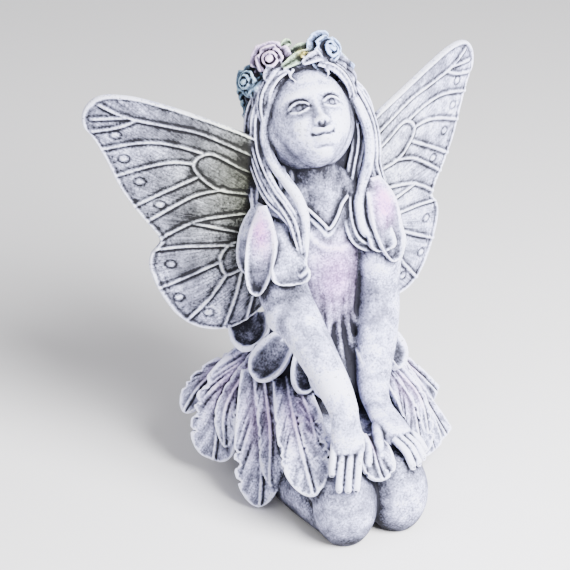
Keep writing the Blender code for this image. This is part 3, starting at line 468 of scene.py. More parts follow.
def arms(clay):
    """Each arm from the shoulder down to the knuckles."""
    path = [(-22, -6, 129), (-26.5, -8, 122), (-26.5, -15, 111), (-25.5, -22.4, 100), (-23.6, -34.8, 92),
            (-21.6, -46.6, 83.2), (-19.4, -57.6, 74), (-17.6, -63.8, 65.4), (-17.4, -66, 59.5),
            (-17.6, -68.5, 54), (-17.6, -70.5, 49.5), (-18, -72.3, 46)]
    rope(clay, path, [8, 10.5, 11.2, 11.2, 9.9, 8.7, 7.7, 6.7, 6.4, 7.2, 7.4, 6.6],
         [8, 9.5, 9.5, 9.5, 9.4, 8.4, 7.1, 5.8, 5.0, 4.7, 4.2, 3.2], (-0.25, -1, 0.3))
    ball(clay, (-27.5, -26, 96), (9.6, 9.6, 9.6))
    path = [(20.5, -7, 129), (22.6, -11.5, 123), (22.8, -15.5, 111.5), (22.6, -14.8, 97.5), (21.8, -17, 85.5),
            (19.2, -21.6, 74.5), (15, -27.5, 62.5), (11.2, -36, 54), (10.2, -43.6, 49.8), (10, -50.6, 47.8),
            (10.4, -57.8, 45.4), (12, -63, 43)]
    rope(clay, path, [8, 10, 10.4, 10.4, 10.4, 10, 8.8, 7.2, 6.6, 7.3, 7.7, 6.8],
         [8, 9.5, 9.5, 9.5, 9.6, 8.8, 7.6, 6, 5.0, 4.6, 4.2, 3.2],
         [(0.3, -1, 0.2), (0.3, -1, 0.2), (0.2, -0.8, 0.6), (0, -0.45, 0.9)])


def legs(clay):
    up = (0, 0, 1)
    for side, (x, y) in KNEES.items():
        ankle = ANKLES[side]
        rope(clay, [(side * 12, -12, 34), (x * 0.7 + side * 4, -38, 30), (x, y + 8, 26), (x, y, 22)],
             [17, 17, 15, 12.5], [14, 15, 14.5, 13], up)
        ball(clay, (x, y + 1, 18), (14.4, 14, 20))
        rope(clay, [(x, y + 4, 11), ((x + ankle) / 2, -30, 11), (ankle, 12, 10), (ankle + side, 22, 8)],
             [13, 13, 9, 7], [11, 12, 9, 7], up)
        rope(clay, [(ankle, 14, 8), (ankle + side, 30, 7), (ankle - side, 41, 5)], [6.5, 8.5, 6],
             [6, 5.5, 3.5], up)
    # the casting is filled between the shins, up to the skirt
    rope(clay, [(-3, -52, 12), (-3, -20, 12), (-2, 14, 12)], [15, 18, 16], [12, 13, 12], up)


def bodice_folds(clay):
    """The high seam of the bodice, the soft folds that hang from it, and the deeper ones in the lap."""
    rope(clay, [(-12, -14.4, 128), (-9, -16.2, 124), (-1.6, -17.6, 120), (6, -16.6, 120.5), (12, -14.2, 124)],
         1.5, 1.2, (0, -1, 0), "bodice")
    for top, middle, bottom, girth in BODICE_FOLDS:
        rope(clay, [(top, -16.9 + 0.02 * top ** 2, 118), (middle, -17.9 + 0.018 * middle ** 2, 100),
                    (bottom, -18.6 + 0.018 * bottom ** 2, 84)],
             [girth, 1.6 * girth, 1.4 * girth], [0.5, 1.1, 1.3], (0, -1, 0), "bodice")
    for top, bottom, girth in LAP_FOLDS:
        rope(clay, [(top, -17.9 + 0.018 * top ** 2, 100), (0.9 * top, -18.4 + 0.018 * top ** 2, 88),
                    ((top + bottom) / 2, -19.2, 76), (bottom, -22.6, 65), (1.15 * bottom, -28, 54)],
             [0.7 * girth, girth, girth, 1.1 * girth, girth], [1.0, 1.7, 2.2, 2.2, 1.8], (0, -0.8, 0.5),
             "bodice")


def pink_and_painted_shade(verts, paint):
    """Pink on the bodice, gathers at its waist, and painted shade in the lap and on the skin: the neck under
    the chin, the arms and sides, and towards the knees.
    """
    dress = np.isclose(paint[:, WHITE], COVER["bodice"])
    x, y, z = verts.T
    # painted shade: the lap, the neck under the chin, the arms and sides below the sleeves, and the legs
    # towards the knees are made darker
    lap = 0.5 * np.clip((104 - z) / 26, 0, 1)
    neck = 0.4 * bell(z - 148, 18) * bell(x, 16)
    arms_and_sides = 0.14 * bell(z - 108, 20) * (np.abs(x) > 14)
    knees = 0.36 * np.clip((52 - z) / 20, 0, 1)
    paint[:, WHITE] -= np.where(dress, lap, neck + arms_and_sides + knees)
    paint[dress, COLOUR] = TINTS["pink"]
    pink = 0.9 * bell(x - 1, 13) * bell(z - 106, 17) * (y < -10)
    gathers = x * (1 + 0.25 * bell(z - 88, 12))
    for column, values in ((TINTED, pink), (LINES, gathers), (LINED, 0.55 * bell(z - 84, 24))):
        paint[dress, column] = values[dress]
    return paint


# ---- hands


def finger(clay, root, middle, tip, radius, nail_facing):
    root, middle, tip = (np.asarray(p, float) for p in (root, middle, tip))
    points = [root, middle, tip - 0.06 * (tip - root), tip]
    wide, thick = radius * np.array([(1, 1.05, 1, 0.7), (1.15, 1.1, 1, 0.65)])
    rope(clay, points, wide, thick, (0, -1, 0.4))
    along = unit(tip - middle)
    out = unit(np.asarray(nail_facing) - along * np.dot(nail_facing, along))
    axes = np.array([np.cross(along, out), along, out])
    ball(clay, tip - 1.5 * along + 0.78 * radius * out, (0.62 * radius, 1.5, 0.62), axes, cover=0.1)


def hands(clay):
    # the right hand hangs over the knee, with its fingers pointing down
    tips = ((-27.2, -73.7, 38.5), (-25.6, -77.7, 32.4), (-22.2, -79.7, 32.2), (-18.6, -80.7, 32.4))
    for k, (x, y, z) in enumerate(tips):
        root = (-23.3 + 3.55 * k, -67.5 - 1.5 * k, 50.5)
        middle = (0.6 * x + 0.4 * root[0], y - 1 + 0.5 * (root[1] - y), z / 2 + 26)
        finger(clay, root, middle, (x, y, z), 1.62, (0, -1, 0.3))
    finger(clay, (-12.5, -64, 54), (-7.8, -67, 46.5), (-8.6, -72.5, 39.2), 2.2, (0, -1, 0.3))
    # the left hand lies along the thigh, with its fingers pointing out
    ends = (((7.8, -64, 44), (12.6, -74.5, 34)), ((10.8, -63, 44.2), (16.4, -73, 34.2)),
            ((13.8, -61.2, 44.2), (20.2, -69.8, 34.6)), ((16.6, -58.8, 44), (23.2, -64.8, 35.5)))
    for root, tip in ends:
        middle = (np.array(root) + tip) / 2 + (0.3, -1.4, 1.6)
        finger(clay, root, middle, tip, 1.68, (0.3, -0.7, 0.6))
    finger(clay, (4.4, -53.4, 47), (0, -64.4, 44), (-1.2, -70.7, 39.2), 2.3, (0, -0.8, 0.5))


# ---- head


def head_at(x, y, z):
    """A point in the head's own frame: to her left, forward, and up through the crown."""
    return HEAD_CENTRE + x * LEFT + y * FRONT + z * UP


# Soft forms of the face, the same on both sides: height, place across and up, reach across and up
FACE_FORMS = [
    (1.6, 0, -7.9, 2.0, 1.7), (1.5, 2.4, -8.7, 1.0, 1.1), (-1.7, 1.25, -9.8, 0.6, 0.55),     # nose
    (1.7, 0, -14.6, 5.6, 3.4), (-0.5, 0, -11.8, 0.8, 1.0), (-1.2, 0, -18.6, 3.6, 0.9),       # round the mouth
    (1.5, 0, -21.4, 4.0, 2.4), (1.8, 9.5, -9.5, 5.5, 4.8),                                   # chin, cheeks
    (0.9, 7.5, 5.0, 5.0, 2.0), (-2.6, 7.4, -0.4, 5.2, 3.7),                                  # brow, sockets
]
EYE_ACROSS, EYE_HALF_WIDTH = 7.7, 4.3


def nose(across, z):
    """The bridge, which rises from the brow and widens down to the tip."""
    down = np.clip((0.5 - z) / 9, 0, 1)
    under = np.clip((z + 10.4) / 1.8, 0, 1)
    return 3.0 * down ** 1.5 * under ** 0.6 * bell(across, 1.5 + 0.6 * down, 2.2)


def mouth(across, z):
    """Two lips, the line between them, and its corners."""
    bow = -12.6 - 0.5 * np.cos(np.clip(across / 1.5, 0, np.pi))
    parting = -14.6 + 0.2 * np.cos(1.2 * across) + 0.03 * across ** 2
    upper = 1.9 * bell(across, 4, 4) * bell(z - bow, 0.9)
    lower = 2.3 * bell(across, 3.2, 4) * bell(z + 16.3, 1.15)
    line = 1.9 * bell(across, 4.6, 6) * bell(z - parting, 0.45)
    corners = 1.2 * bell(across - 4.9, 0.8) * bell(z - parting, 0.8)
    return upper + lower - line - corners


def eyes(across, z):
    """Each eye: ball, two lids, the crease above, corners, and a ringed iris."""
    off = across - EYE_ACROSS
    aside = np.abs(off)
    arch = np.clip(1 - (off / EYE_HALF_WIDTH) ** 2, 0, 1)
    upper = -0.9 + 2.1 * arch ** 0.8 + 0.05 * off
    lower = -1.3 - 1.5 * arch
    opening = 0.45 * ((arch > 0) & (z < upper) & (z > lower))
    eyeball = 2.1 * bell(np.hypot(off / EYE_HALF_WIDTH, (z + 0.8) / 2.9), 1, 3)
    lids = 1.2 * bell(z - upper - 0.35, 0.45) + 0.75 * bell(z - lower + 0.3, 0.4)
    crease = np.clip((EYE_HALF_WIDTH - aside) / 0.8, 0, 1) * bell(z - upper - 1.75, 0.5)
    corners = 0.7 * bell(aside - 4.6, 0.8) * bell(z + 1.2, 0.8)
    centre = np.hypot(off + 0.1, z + 0.75)
    iris = 0.65 * bell(centre - 1.4, 0.32) + 0.4 * bell(centre, 0.45)
    return eyeball + np.clip((4.8 - aside) / 0.8, 0, 1) * lids - crease - corners - iris - opening


def face(x, z):
    """How far the face stands out of the skull at a point across and up it: a calm, plain child's face."""
    across = np.abs(x)
    high = eyes(across, z) + nose(across, z) + mouth(across, z)
    for height, cx, cz, rx, rz in FACE_FORMS:
        high = high + height * bell(across - cx, rx) * bell(z - cz, rz)
    return high


def skull(clay):
    """An egg that narrows to the chin, with the face on its front."""
    dy, dx, dz = globe(steps(np.pi * max(SKULL)))
    low = np.clip(-dz, 0, 1) ** 2
    x, z = SKULL[0] * dx * (1 - 0.2 * low), SKULL[2] * dz
    relief = face(x, z) * np.clip(3 * dy, 0, 1)
    y = SKULL[1] * dy + 2 * low + relief
    # the wash stays in the hollows of the face; the darkening round its edge, where the face turns from the
    # front, is painted shade
    cover = 0.1 * np.clip(relief, -2.5, 0.8) - 0.5 * np.clip(0.7 - dy, 0, 0.7)
    clay.add(head_at(x[..., None], y[..., None], z[..., None]), "skin", cover=cover)


def hair(clay):
    ball(clay, head_at(0, -5.5, 1.5), (20.6, 22.4, 24.6), (FRONT, LEFT, UP), "hair")
    for k, (points, wide, thick, facing, strands) in enumerate(SIDE_LOCKS):
        taper = np.array([0.65] + [1.0] * (len(points) - 3) + [0.8, 0.25])
        tress(clay, points, wide * taper, thick * taper, facing, strands, seed=k)
    for side in (-1, 1):
        tress(clay, [(side * 16, 6, 172), (side * 15.5, 3, 155), (side * 14, 0, 142), (side * 12.5, -5, 131)],
              [3.5, 4.5, 4.5, 1.5], [3, 3.5, 3.5, 1.5], (side * 0.4, -1, 0), seed=20 + side)
        crown_locks(clay, side)
        front_waves(clay, side)
    ball(clay, (0, 8, 146), (24, 11, 24), kind="hair")
    for turn in range(-4, 5):
        back_lock(clay, turn)
    wisps(clay)


def back_lock(clay, turn):
    """A lock down the back, numbered from the middle one out."""
    a = np.radians(19 * turn)
    x, y = 25 * np.sin(a), 13 * np.cos(a)
    end = 101 + 3 * abs(turn) + 4 * (turn % 2)
    tress(clay, [head_at(17 * np.sin(a), -14 * np.cos(a) - 4, 12), (x, 8 + 1.15 * y, 162),
                 (1.1 * x, 6 + 1.1 * y, 145), (1.05 * x, 3 + y, 128), (0.95 * x, 1 + 0.9 * y, 114),
                 (0.85 * x, 1 + 0.8 * y, end)],
          [4.5, 5.6, 5.8, 5.4, 4.2, 0.9], [3.5, 4.2, 4.4, 4.2, 3.2, 0.9], (np.sin(a), np.cos(a), 0),
          strands=6, seed=44 + turn)


def crown_locks(clay, side):
    """Strands combed from the middle of the crown, down to where the wreath holds them."""
    for k in range(9):
        back = 8 - 4.2 * k
        rise = 25.4 - 0.013 * (back + 4) ** 2
        tress(clay, [head_at(side * -0.6, back, rise), head_at(side * 9, back + 1, 0.92 * rise),
                     head_at(side * 17, back, 0.66 * rise), head_at(side * 21.5, back - 1, 0.3 * rise)],
              [2.2, 2.6, 2.6, 2.0], [1.3, 1.5, 1.5, 1.0], (side * 0.5, 0.2, 1), strands=3,
              seed=60 + 10 * side + k)


def front_waves(clay, side):
    """Two rolls of hair from the parting, round the brow and down to the side locks."""
    for k in range(2):
        sweep = ((7, 15.5, 18.6), (13, 13.5, 16.6), (17.8, 10.8, 12.5), (20.6, 7, 6), (20.8, 1.5, -3))
        tress(clay, [head_at(side * (x + 1.6 * k), y - 3.2 * k, z + k) for x, y, z in sweep],
              [1.4, 2.4, 2.8, 2.4, 0.8], [1.2, 1.8, 2.0, 1.8, 0.8], FRONT + 0.6 * side * LEFT, strands=3,
              seed=80 + 2 * side + k)


def wisps(clay):
    """A few short strands that curl from under the wreath over the brow."""
    for strand in (((-4.5, 14.2, 18.5), (-7.2, 16.0, 15.0), (-5.6, 17.4, 11.6)),
                   ((9.5, 13.0, 17.0), (10.6, 14.6, 14.2), (9.4, 15.9, 11.4))):
        rope(clay, [head_at(*point) for point in strand], [0.9, 0.6, 0.25], [0.8, 0.6, 0.25], FRONT, "hair",
             cover=0.2)


# ---- wreath


def wreath_at(angle, lift, rise):
    """A point on the wreath's ring, and the way it looks, at an angle in degrees from the front."""
    a = np.radians(angle)
    out = WREATH_FRONT * np.cos(a) + LEFT * np.sin(a)
    across, along = WREATH_RADII
    point = head_at(0, *WREATH_CENTRE) + WREATH_UP * rise
    return point + WREATH_FRONT * np.cos(a) * (along + lift) + LEFT * np.sin(a) * (across + lift), out


def wreath_facing(angle, lean):
    """The way a flower looks: outwards, leaning to the face at the front and away from it at the back."""
    return wreath_at(angle, 0, 0)[1] - lean * np.cos(np.radians(angle)) * WREATH_UP


def rose(clay, centre, facing, radius, tint):
    """A rose: outer petals that fold back, then petals wrapped ever closer round a bud."""
    out = unit(facing)
    east = unit(np.cross(out, (0.3, 0.2, 1)))
    north = np.cross(out, east)
    ball(clay, centre - 0.15 * radius * out, (0.62 * radius,) * 3, kind="bloom", cover=-0.45)
    random = np.random.default_rng(int(10 * radius))
    for petals, reach, height, half, upright, fold, offset in ROSE_TURNS:
        for k in range(petals):
            a = 2 * np.pi * (k + offset + random.uniform(-0.12, 0.12)) / petals
            away = np.cos(a) * east + np.sin(a) * north
            grow, rise = random.uniform(0.88, 1.1), random.uniform(-0.06, 0.08)
            points = [centre + radius * (grow * r * away + (h + rise) * out) for r, h in zip(reach, height)]
            leaf(clay, points, half * grow * radius, (1 - upright) * out + upright * away, 0.15 * radius,
                 cup=fold, rim=0.3, rim_wide=0.8, root=0.7, tint=tint, rim_white=0.55)


def leaf_groove(u, v, run, width):
    return -0.6 * bell(v * width, 0.5), 0.0, None


def wreath(clay):
    ring = [wreath_at(angle, 0, 0)[0] for angle in range(0, 361, 30)]
    rope(clay, ring, 2.4, 2.4, UP, "bloom", cover=-0.2)
    # the hair drawn up under it
    rope(clay, [wreath_at(angle, -4.5, -2.5)[0] for angle in range(-100, 101, 20)], 4.6, 5, WREATH_UP, "hair",
         cover=-0.2)
    for angle, rise, radius, tint in ROSES:
        rose(clay, wreath_at(angle, 1.5, rise)[0], wreath_facing(angle, 0.85), radius, tint)
    for angle, rise, tip_angle, tip_rise, half, tint in LEAVES:
        root, out = wreath_at(angle, 1.5, rise)
        tip, tip_out = wreath_at(tip_angle, 2, tip_rise)
        leaf(clay, [root, (root + tip) / 2 + out + tip_out, tip], half, wreath_facing(angle, 0.7), 1.5,
             root=0.4, relief=leaf_groove, tint=tint)
    small_flower(clay)


def small_flower(clay):
    centre, out = wreath_at(3, 2.5, -5.0)
    out = unit(out - 0.8 * WREATH_UP)
    across = unit(np.cross(out, WREATH_UP))
    for k in range(5):
        a = 2 * np.pi * k / 5
        away = np.cos(a) * across + np.sin(a) * WREATH_UP
        leaf(clay, [centre, centre + 1.9 * away + 0.4 * out, centre + 3.4 * away], 1.4, out, 1.0, tint="gold")
    ball(clay, centre + 0.6 * out, (1.0, 1.0, 1.0), kind="bloom", tint="gold")


# ---- wings


def distance_to(line, x, z):
    """Least distance from grid points to a curve through the line's points."""
    p = curve(line, 8 * len(line))
    best = np.full(x.shape, 1e9)
    for a, b in zip(p[:-1], p[1:]):
        d = b - a
        t = np.clip(((x - a[0]) * d[0] + (z - a[1]) * d[1]) / (d @ d), 0, 1)
        best = np.minimum(best, np.hypot(x - a[0] - t * d[0], z - a[1] - t * d[1]))
    return best


def wing_relief(x, z, edge):
    """Rim, veins with a groove along their lower side, eye spots, and a dabbed band inside the rim."""
    vein, above = np.full(x.shape, 1e9), np.zeros(x.shape)
    for line in VEINS:
        far = distance_to(line, x, z)
        step_down = distance_to(line, x, z + 0.8)
        above = np.where(far < vein, np.sign(step_down - far), above)
        vein = np.minimum(vein, far)
    high = bell(edge, 1.5) - 0.3 * bell(edge - 2.6, 0.6) + 0.75 * bell(vein, 0.68)
    high = high - np.where(above < 0, 0.42, 0.18) * bell(vein - 1.35, 0.5)
    for cx, cz in WING_SPOTS:
        ring = np.hypot((x - cx) * 0.86, z - cz)
        high = high - 0.62 * bell(ring - 1.9, 0.42) + 0.25 * bell(ring, 1.0)
    outer = np.clip((x - 56) / 6, 0, 1)
    dabs = np.clip(np.sin(1.9 * x + 0.6 * z) * np.sin(1.3 * z - 0.5 * x), 0, 1) ** 2
    return high - 0.5 * outer * dabs * bell(edge - 4.2, 1.3)


def wing(clay, side):
    """One wing: a curved plate that reaches from a hub in the back to the outline."""
    rim = curve(WING_RIM, steps(WING_ROUND, step=WING_STEP))
    f = np.linspace(0, 1, steps(WING_REACH, step=WING_STEP))
    x = WING_HUB[0] + (rim[:, :1] - WING_HUB[0]) * f
    z = WING_HUB[1] + (rim[:, 1:] - WING_HUB[1]) * f
    reach = np.hypot(x - WING_HUB[0], z - WING_HUB[1])
    edge = reach[:, -1:] - reach
    half = WING_THICK / 2 + (WING_ROOT_THICK - WING_THICK) / 2 * np.clip(1 - reach / 34, 0, 1)
    half = half * np.clip((edge + 0.5) / 1.8, 0.25, 1) ** 0.5
    relief = wing_relief(x, z, edge) * np.clip(edge / 0.8, 0, 1)
    lean = unit(np.stack([-(0.15 + 0.0056 * x), np.ones_like(x), np.zeros_like(x)], -1))
    middle = np.stack([x, 0.15 * x + 0.0028 * x ** 2, z], -1)
    front = middle - lean * (half + relief)[..., None]
    back = middle + lean * (half + 0.6 * relief)[..., None]
    glow = bell(np.hypot(x - 16, z - 146), 48) * (1.0 if side < 0 else 0.3)
    # the rim is whiter; the wing on her left is lighter all over, painted light from the lamp on that side;
    # near the root, most on her right wing, the moss tint also darkens the whitewash
    white = 0.12 * bell(edge, 1.8) + (0.2 if side > 0 else 0) - 0.24 * glow
    along = 0.8 * np.linspace(0, WING_ROUND, len(rim))[:, None] * np.ones_like(f)
    clay.add_plate(front * (side, 1, 1), back * (side, 1, 1), "wing", "moss", strength=glow, cover=white,
                   lines=along)


# ---- skirt and sleeves


def barbs(seed):
    """Relief of a feather: a wavy midrib with a groove beside it, long barbs, and a few deep splits."""
    random = np.random.default_rng(seed)
    phase = random.uniform(0, 2 * np.pi, (2, 4))
    splits = np.sort(random.uniform(-2, 26, (2, 5)), axis=1)
    bend = random.uniform(0.1, 0.2)

    def relief(u, v, run, width):
        v = v - bend * np.sin(2.8 * u + phase[0, 0])
        out = np.abs(v) * width
        index = (v > 0).astype(int)
        place = run - 2.1 * out - 0.02 * out ** 2
        slow = 1.2 * np.sin(0.25 * place + phase[index, 0])
        place = place + slow + 0.5 * np.sin(0.7 * place + phase[index, 1])
        split = np.full(place.shape, 1e9)
        for k in range(splits.shape[1]):
            split = np.minimum(split, np.abs(place - splits[index, k]))
        cut = bell(split, 0.8) * np.clip((out - 2.5) / 3.0, 0, 1)
        fade = np.clip((out - 1.2) / 2.0, 0, 1)
        ridge = np.abs(np.sin(np.pi * place / 2.2 + phase[index, 2])) ** 0.6
        swell = 0.45 * np.sin(0.42 * place + phase[index, 3])
        rib = 0.7 * bell(out, 0.7) - 0.8 * (v < 0) * bell(out - 1.3, 0.45)
        high = rib + fade * (0.26 * ridge + 0.35 * swell - 0.15) - cut
        return high, 0.26 * cut * np.abs(v) ** 3, 0.8 * place
    return relief


def skirt(clay):
    angle = turns(SKIRT_SIDES)
    clay.add([np.stack([1 + rx * np.cos(angle), y + ry * np.sin(angle), np.full_like(angle, z)], -1)
              for z, rx, ry, y in SKIRT], "cup")
    for k, (*points, half, belly, facing) in enumerate(FEATHERS):
        feather(clay, points, half, belly, facing, k)
        if half > LOBED:
            lobe(clay, points, half, facing, 40 + k)
    for *points, half, facing in CUPS:
        cup(clay, points, half, facing)
    for k in range(-3, 4):
        points, facing = fill_petal(22 * k, ((21, 61), (42, 40), (50, 9 + 5 * (k % 2))), 0.6)
        feather(clay, points, 10.5, 0.76, facing, 20 + k)
    for turn in (-19, 17):
        points, facing = fill_petal(turn, ((8, 77), (25, 70), (37, 57)), 0.8)
        cup(clay, points, 12, facing)


def feather(clay, points, half, belly, facing, seed):
    """A feather that ends rounder, and more bluntly, the nearer its tip it is widest."""
    leaf(clay, points, half, facing, 2.6, cup=0.1, rim=0.2, rim_wide=0.8, root=0.6, belly=belly,
         point=1.75 * (1 - belly), relief=barbs(seed), kind="petal", tint="pink", centre_tint=0.5,
         rim_white=0.1)


def lobe(clay, points, half, facing, seed):
    """A shorter blade that lies along the left half of a wide feather."""
    root, middle, tip = np.array(points)
    along = unit(tip - root)
    out = np.atleast_2d(facing)[0]
    out = unit(out - along * np.dot(out, along))
    shift = 0.5 * half * np.cross(out, along) + 0.7 * out
    feather(clay, [root + 0.4 * shift, middle + 0.9 * shift, 0.3 * middle + 0.7 * tip + shift], 0.48 * half,
            0.6, facing, seed)


def cup(clay, points, half, facing):
    leaf(clay, points, half, facing, 2.8, cup=0.42, rim=1.5, rim_wide=2.3, belly=0.55, kind="cup",
         rim_white=0.8)


def fill_petal(turn, profile, tilt):
    """Midline and facing of a petal of the skirt's back, at an angle in degrees from straight behind."""
    a = np.radians(turn)
    points = [(SKIRT_CENTRE[0] + r * np.sin(a), SKIRT_CENTRE[1] + r * np.cos(a), z) for r, z in profile]
    return points, (np.sin(a), np.cos(a), tilt)


def sleeves(clay):
    for points, half, root, belly, rim, facing, tint in SLEEVES:
        leaf(clay, points, half, facing, 2.4, cup=[-0.35, -0.2, 0.4], rim=rim, rim_wide=1.5, root=root,
             belly=belly, kind="sleeve", tint=tint, centre_tint=1.5)


def collar(clay):
    """The pointed neckline: a crisp edge over a fainter band."""
    line = np.array([(-15, -9.5, 141), (-11.6, -12, 139), (-7.9, -14.9, 135.2), (-5, -16.2, 131.8),
                     (-3.4, -16.7, 129.8), (-1.2, -16.5, 131), (2, -15.3, 135), (4.8, -13.4, 139),
                     (9, -10, 141)])
    rope(clay, line, 0.75, 1.1, (0, -1, 0.2), "sleeve", cover=0.1)
    rope(clay, line - (0, -0.2, 3.2), 1.2, 0.5, (0, -1, 0.2), "bodice", cover=0.01)


# ---- fusing, thinning and cutting


def mesh_from(name, verts, faces):
    mesh = bpy.data.meshes.new(name)
    mesh.vertices.add(len(verts))
    mesh.vertices.foreach_set("co", np.asarray(verts, np.float32).ravel())
    mesh.loops.add(3 * len(faces))
    mesh.loops.foreach_set("vertex_index", np.asarray(faces, np.int32).ravel())
    mesh.polygons.add(len(faces))
    mesh.polygons.foreach_set("loop_start", np.arange(0, 3 * len(faces), 3, dtype=np.int32))
    mesh.update(calc_edges=True)
    return mesh


def read(items, name, size, kind=np.float32):
    """One property of all of a mesh's items, `size` numbers a row."""
    values = np.empty(size * len(items), kind)
    items.foreach_get(name, values)
    return values.reshape(-1, size)


def points_of(mesh):
    return read(mesh.vertices, "co", 3).astype(float)


def edges_of(mesh):
    return read(mesh.edges, "vertices", 2, np.int32)


def with_modifier(obj, kind, **settings):
    """Replaces the object's mesh by what one modifier makes of it."""
    mod = obj.modifiers.new(kind, kind)
    for key, value in settings.items():
        setattr(mod, key, value)
    graph = bpy.context.evaluated_depsgraph_get()
    mesh = bpy.data.meshes.new_from_object(obj.evaluated_get(graph))
    obj.modifiers.clear()
    old = obj.data
    obj.data = mesh
    bpy.data.meshes.remove(old)


def fuse(clay, name, voxel, rounds, factor):
    """One skin round all the bodies, softened."""
    verts, faces, _ = clay.arrays()
    obj = bpy.data.objects.new(name, mesh_from(name, verts, faces))
    bpy.context.scene.collection.objects.link(obj)
    with_modifier(obj, "REMESH", mode="VOXEL", voxel_size=voxel)
    with_modifier(obj, "SMOOTH", factor=factor, iterations=rounds)
    return obj


def shell_labels(count, edges):
    """A label for each vertex, the same all over one connected shell."""
    label = np.arange(count)
    a, b = edges[:, 0], edges[:, 1]
    while True:
        low = np.minimum(label[a], label[b])
        new = label.copy()
        np.minimum.at(new, a, low)
        np.minimum.at(new, b, low)
        new = new[new]
        if np.array_equal(new, label):
            return label
        label = new


@contextmanager
def editing(obj):
    """The object's mesh as a BMesh, put back at the end."""
    bm = bmesh.new()
    bm.from_mesh(obj.data)
    yield bm
    bm.to_mesh(obj.data)
    bm.free()


def keep_outer_skin(obj):
    """Drops sealed hollows and crumbs: every shell but the one with the most vertices."""
    label = shell_labels(len(obj.data.vertices), edges_of(obj.data))
    names, sizes = np.unique(label, return_counts=True)
    inner = np.nonzero(label != names[np.argmax(sizes)])[0]
    with editing(obj) as bm:
        bm.verts.ensure_lookup_table()
        bmesh.ops.delete(bm, geom=[bm.verts[i] for i in inner], context="VERTS")


def cut_base(obj):
    """Cuts the underside flat at floor level."""
    with editing(obj) as bm:
        bmesh.ops.bisect_plane(bm, geom=bm.verts[:] + bm.edges[:] + bm.faces[:], plane_co=(0, 0, FLOOR_SINK),
                               plane_no=(0, 0, 1), clear_inner=True)
        bmesh.ops.holes_fill(bm, edges=[edge for edge in bm.edges if edge.is_boundary])
        bmesh.ops.triangulate(bm, faces=bm.faces[:])
        bmesh.ops.recalc_face_normals(bm, faces=bm.faces[:])


# ---- paint


def mean_of_neighbours(values, edges):
    total = np.zeros_like(values)
    near = np.bincount(edges.ravel(), minlength=len(values))
    for a, b in (edges.T, edges.T[::-1]):
        for k in range(values.shape[1]):
            total[:, k] += np.bincount(a, values[b, k], len(values))
    return total / np.maximum(near, 1)[:, None]


def ridges(mesh, scales):
    """How far each vertex stands out of the surface averaged over so many rounds, for each scale, in mm."""
    co, edges = points_of(mesh), edges_of(mesh)
    normal = read(mesh.vertex_normals, "vector", 3)
    heights = []
    soft = co
    for rounds in scales:
        for _ in range(rounds):
            soft = mean_of_neighbours(soft, edges)
        heights.append(np.sum((co - soft) * normal, axis=1))
    return heights


def nearest(points, targets):
    """For each target, the index of the nearest point."""
    tree = kdtree.KDTree(len(points))
    for i, p in enumerate(points.tolist()):
        tree.insert(p, i)
    tree.balance()
    return np.array([tree.find(t)[1] for t in targets.tolist()])


def add_attribute(mesh, name, values):
    """Keeps one number or one colour a vertex for the material."""
    kind, field = ("FLOAT", "value") if np.ndim(values) == 1 else ("FLOAT_COLOR", "color")
    layer = mesh.attributes.new(name, kind, "POINT")
    layer.data.foreach_set(field, np.asarray(values, np.float32).ravel())


def softened_flesh():
    """Limbs, torso and folds, fused and softened on their own, with their paint."""
    limbs = Clay()
    for part in (torso, arms, legs, bodice_folds):
        part(limbs)
    flesh = fuse(limbs, "flesh", FLESH_VOXEL, FLESH_SOFTENING, 0.5)
    flesh.data.calc_loop_triangles()
    faces = read(flesh.data.loop_triangles, "vertices", 3, np.int32)
    verts = points_of(flesh.data)
    bpy.data.objects.remove(flesh)
    points, _, paint = limbs.arrays()
    return verts, faces, pink_and_painted_shade(verts, paint[nearest(points, verts)])


def figurine():
    clay = Clay()
    clay.add_mesh(*softened_flesh())
    for part in (hands, skull, hair, wreath, skirt, sleeves, collar):
        part(clay)
    wing(clay, -1)
    wing(clay, 1)
    obj = fuse(clay, "kneeling_fairy", SKIN_VOXEL, SKIN_SOFTENING, 0.4)
    fine, middling = ridges(obj.data, (3, 12))
    add_attribute(obj.data, "ridge", 2.2 * fine + 0.9 * middling)
    with_modifier(obj, "TRIANGULATE")
    with_modifier(obj, "DECIMATE", ratio=TRIANGLES / len(obj.data.polygons))
    keep_outer_skin(obj)
    cut_base(obj)
    points, _, paint = clay.arrays()
    paint = paint[nearest(points, points_of(obj.data))]
    paint[:, :LINES] = mean_of_neighbours(paint[:, :LINES], edges_of(obj.data))
    add_attribute(obj.data, "broad", ridges(obj.data, (6,))[0])
    for name, column in (("cover", WHITE), ("tinted", TINTED), ("lines", LINES), ("lined", LINED)):
        add_attribute(obj.data, name, paint[:, column])
    add_attribute(obj.data, "tint", np.column_stack([paint[:, COLOUR], np.ones(len(paint))]))
    fit_to_solid(obj)
    obj.data.shade_smooth()
    return obj


def fit_to_solid(obj):
    """Moves the sculpt, in mm, into the CAD solid's box, in metres."""
    low, high = (np.array(corner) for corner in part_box(NODE))
    co = points_of(obj.data)
    middle = (co.min(axis=0) + co.max(axis=0)) / 2
    middle[2] = co[:, 2].min()
    seat = (low + high) / 2
    seat[2] = low[2]
    obj.data.vertices.foreach_set("co", ((co - middle) * MM + seat).astype(np.float32).ravel())
    obj.data.update()


# ---- material


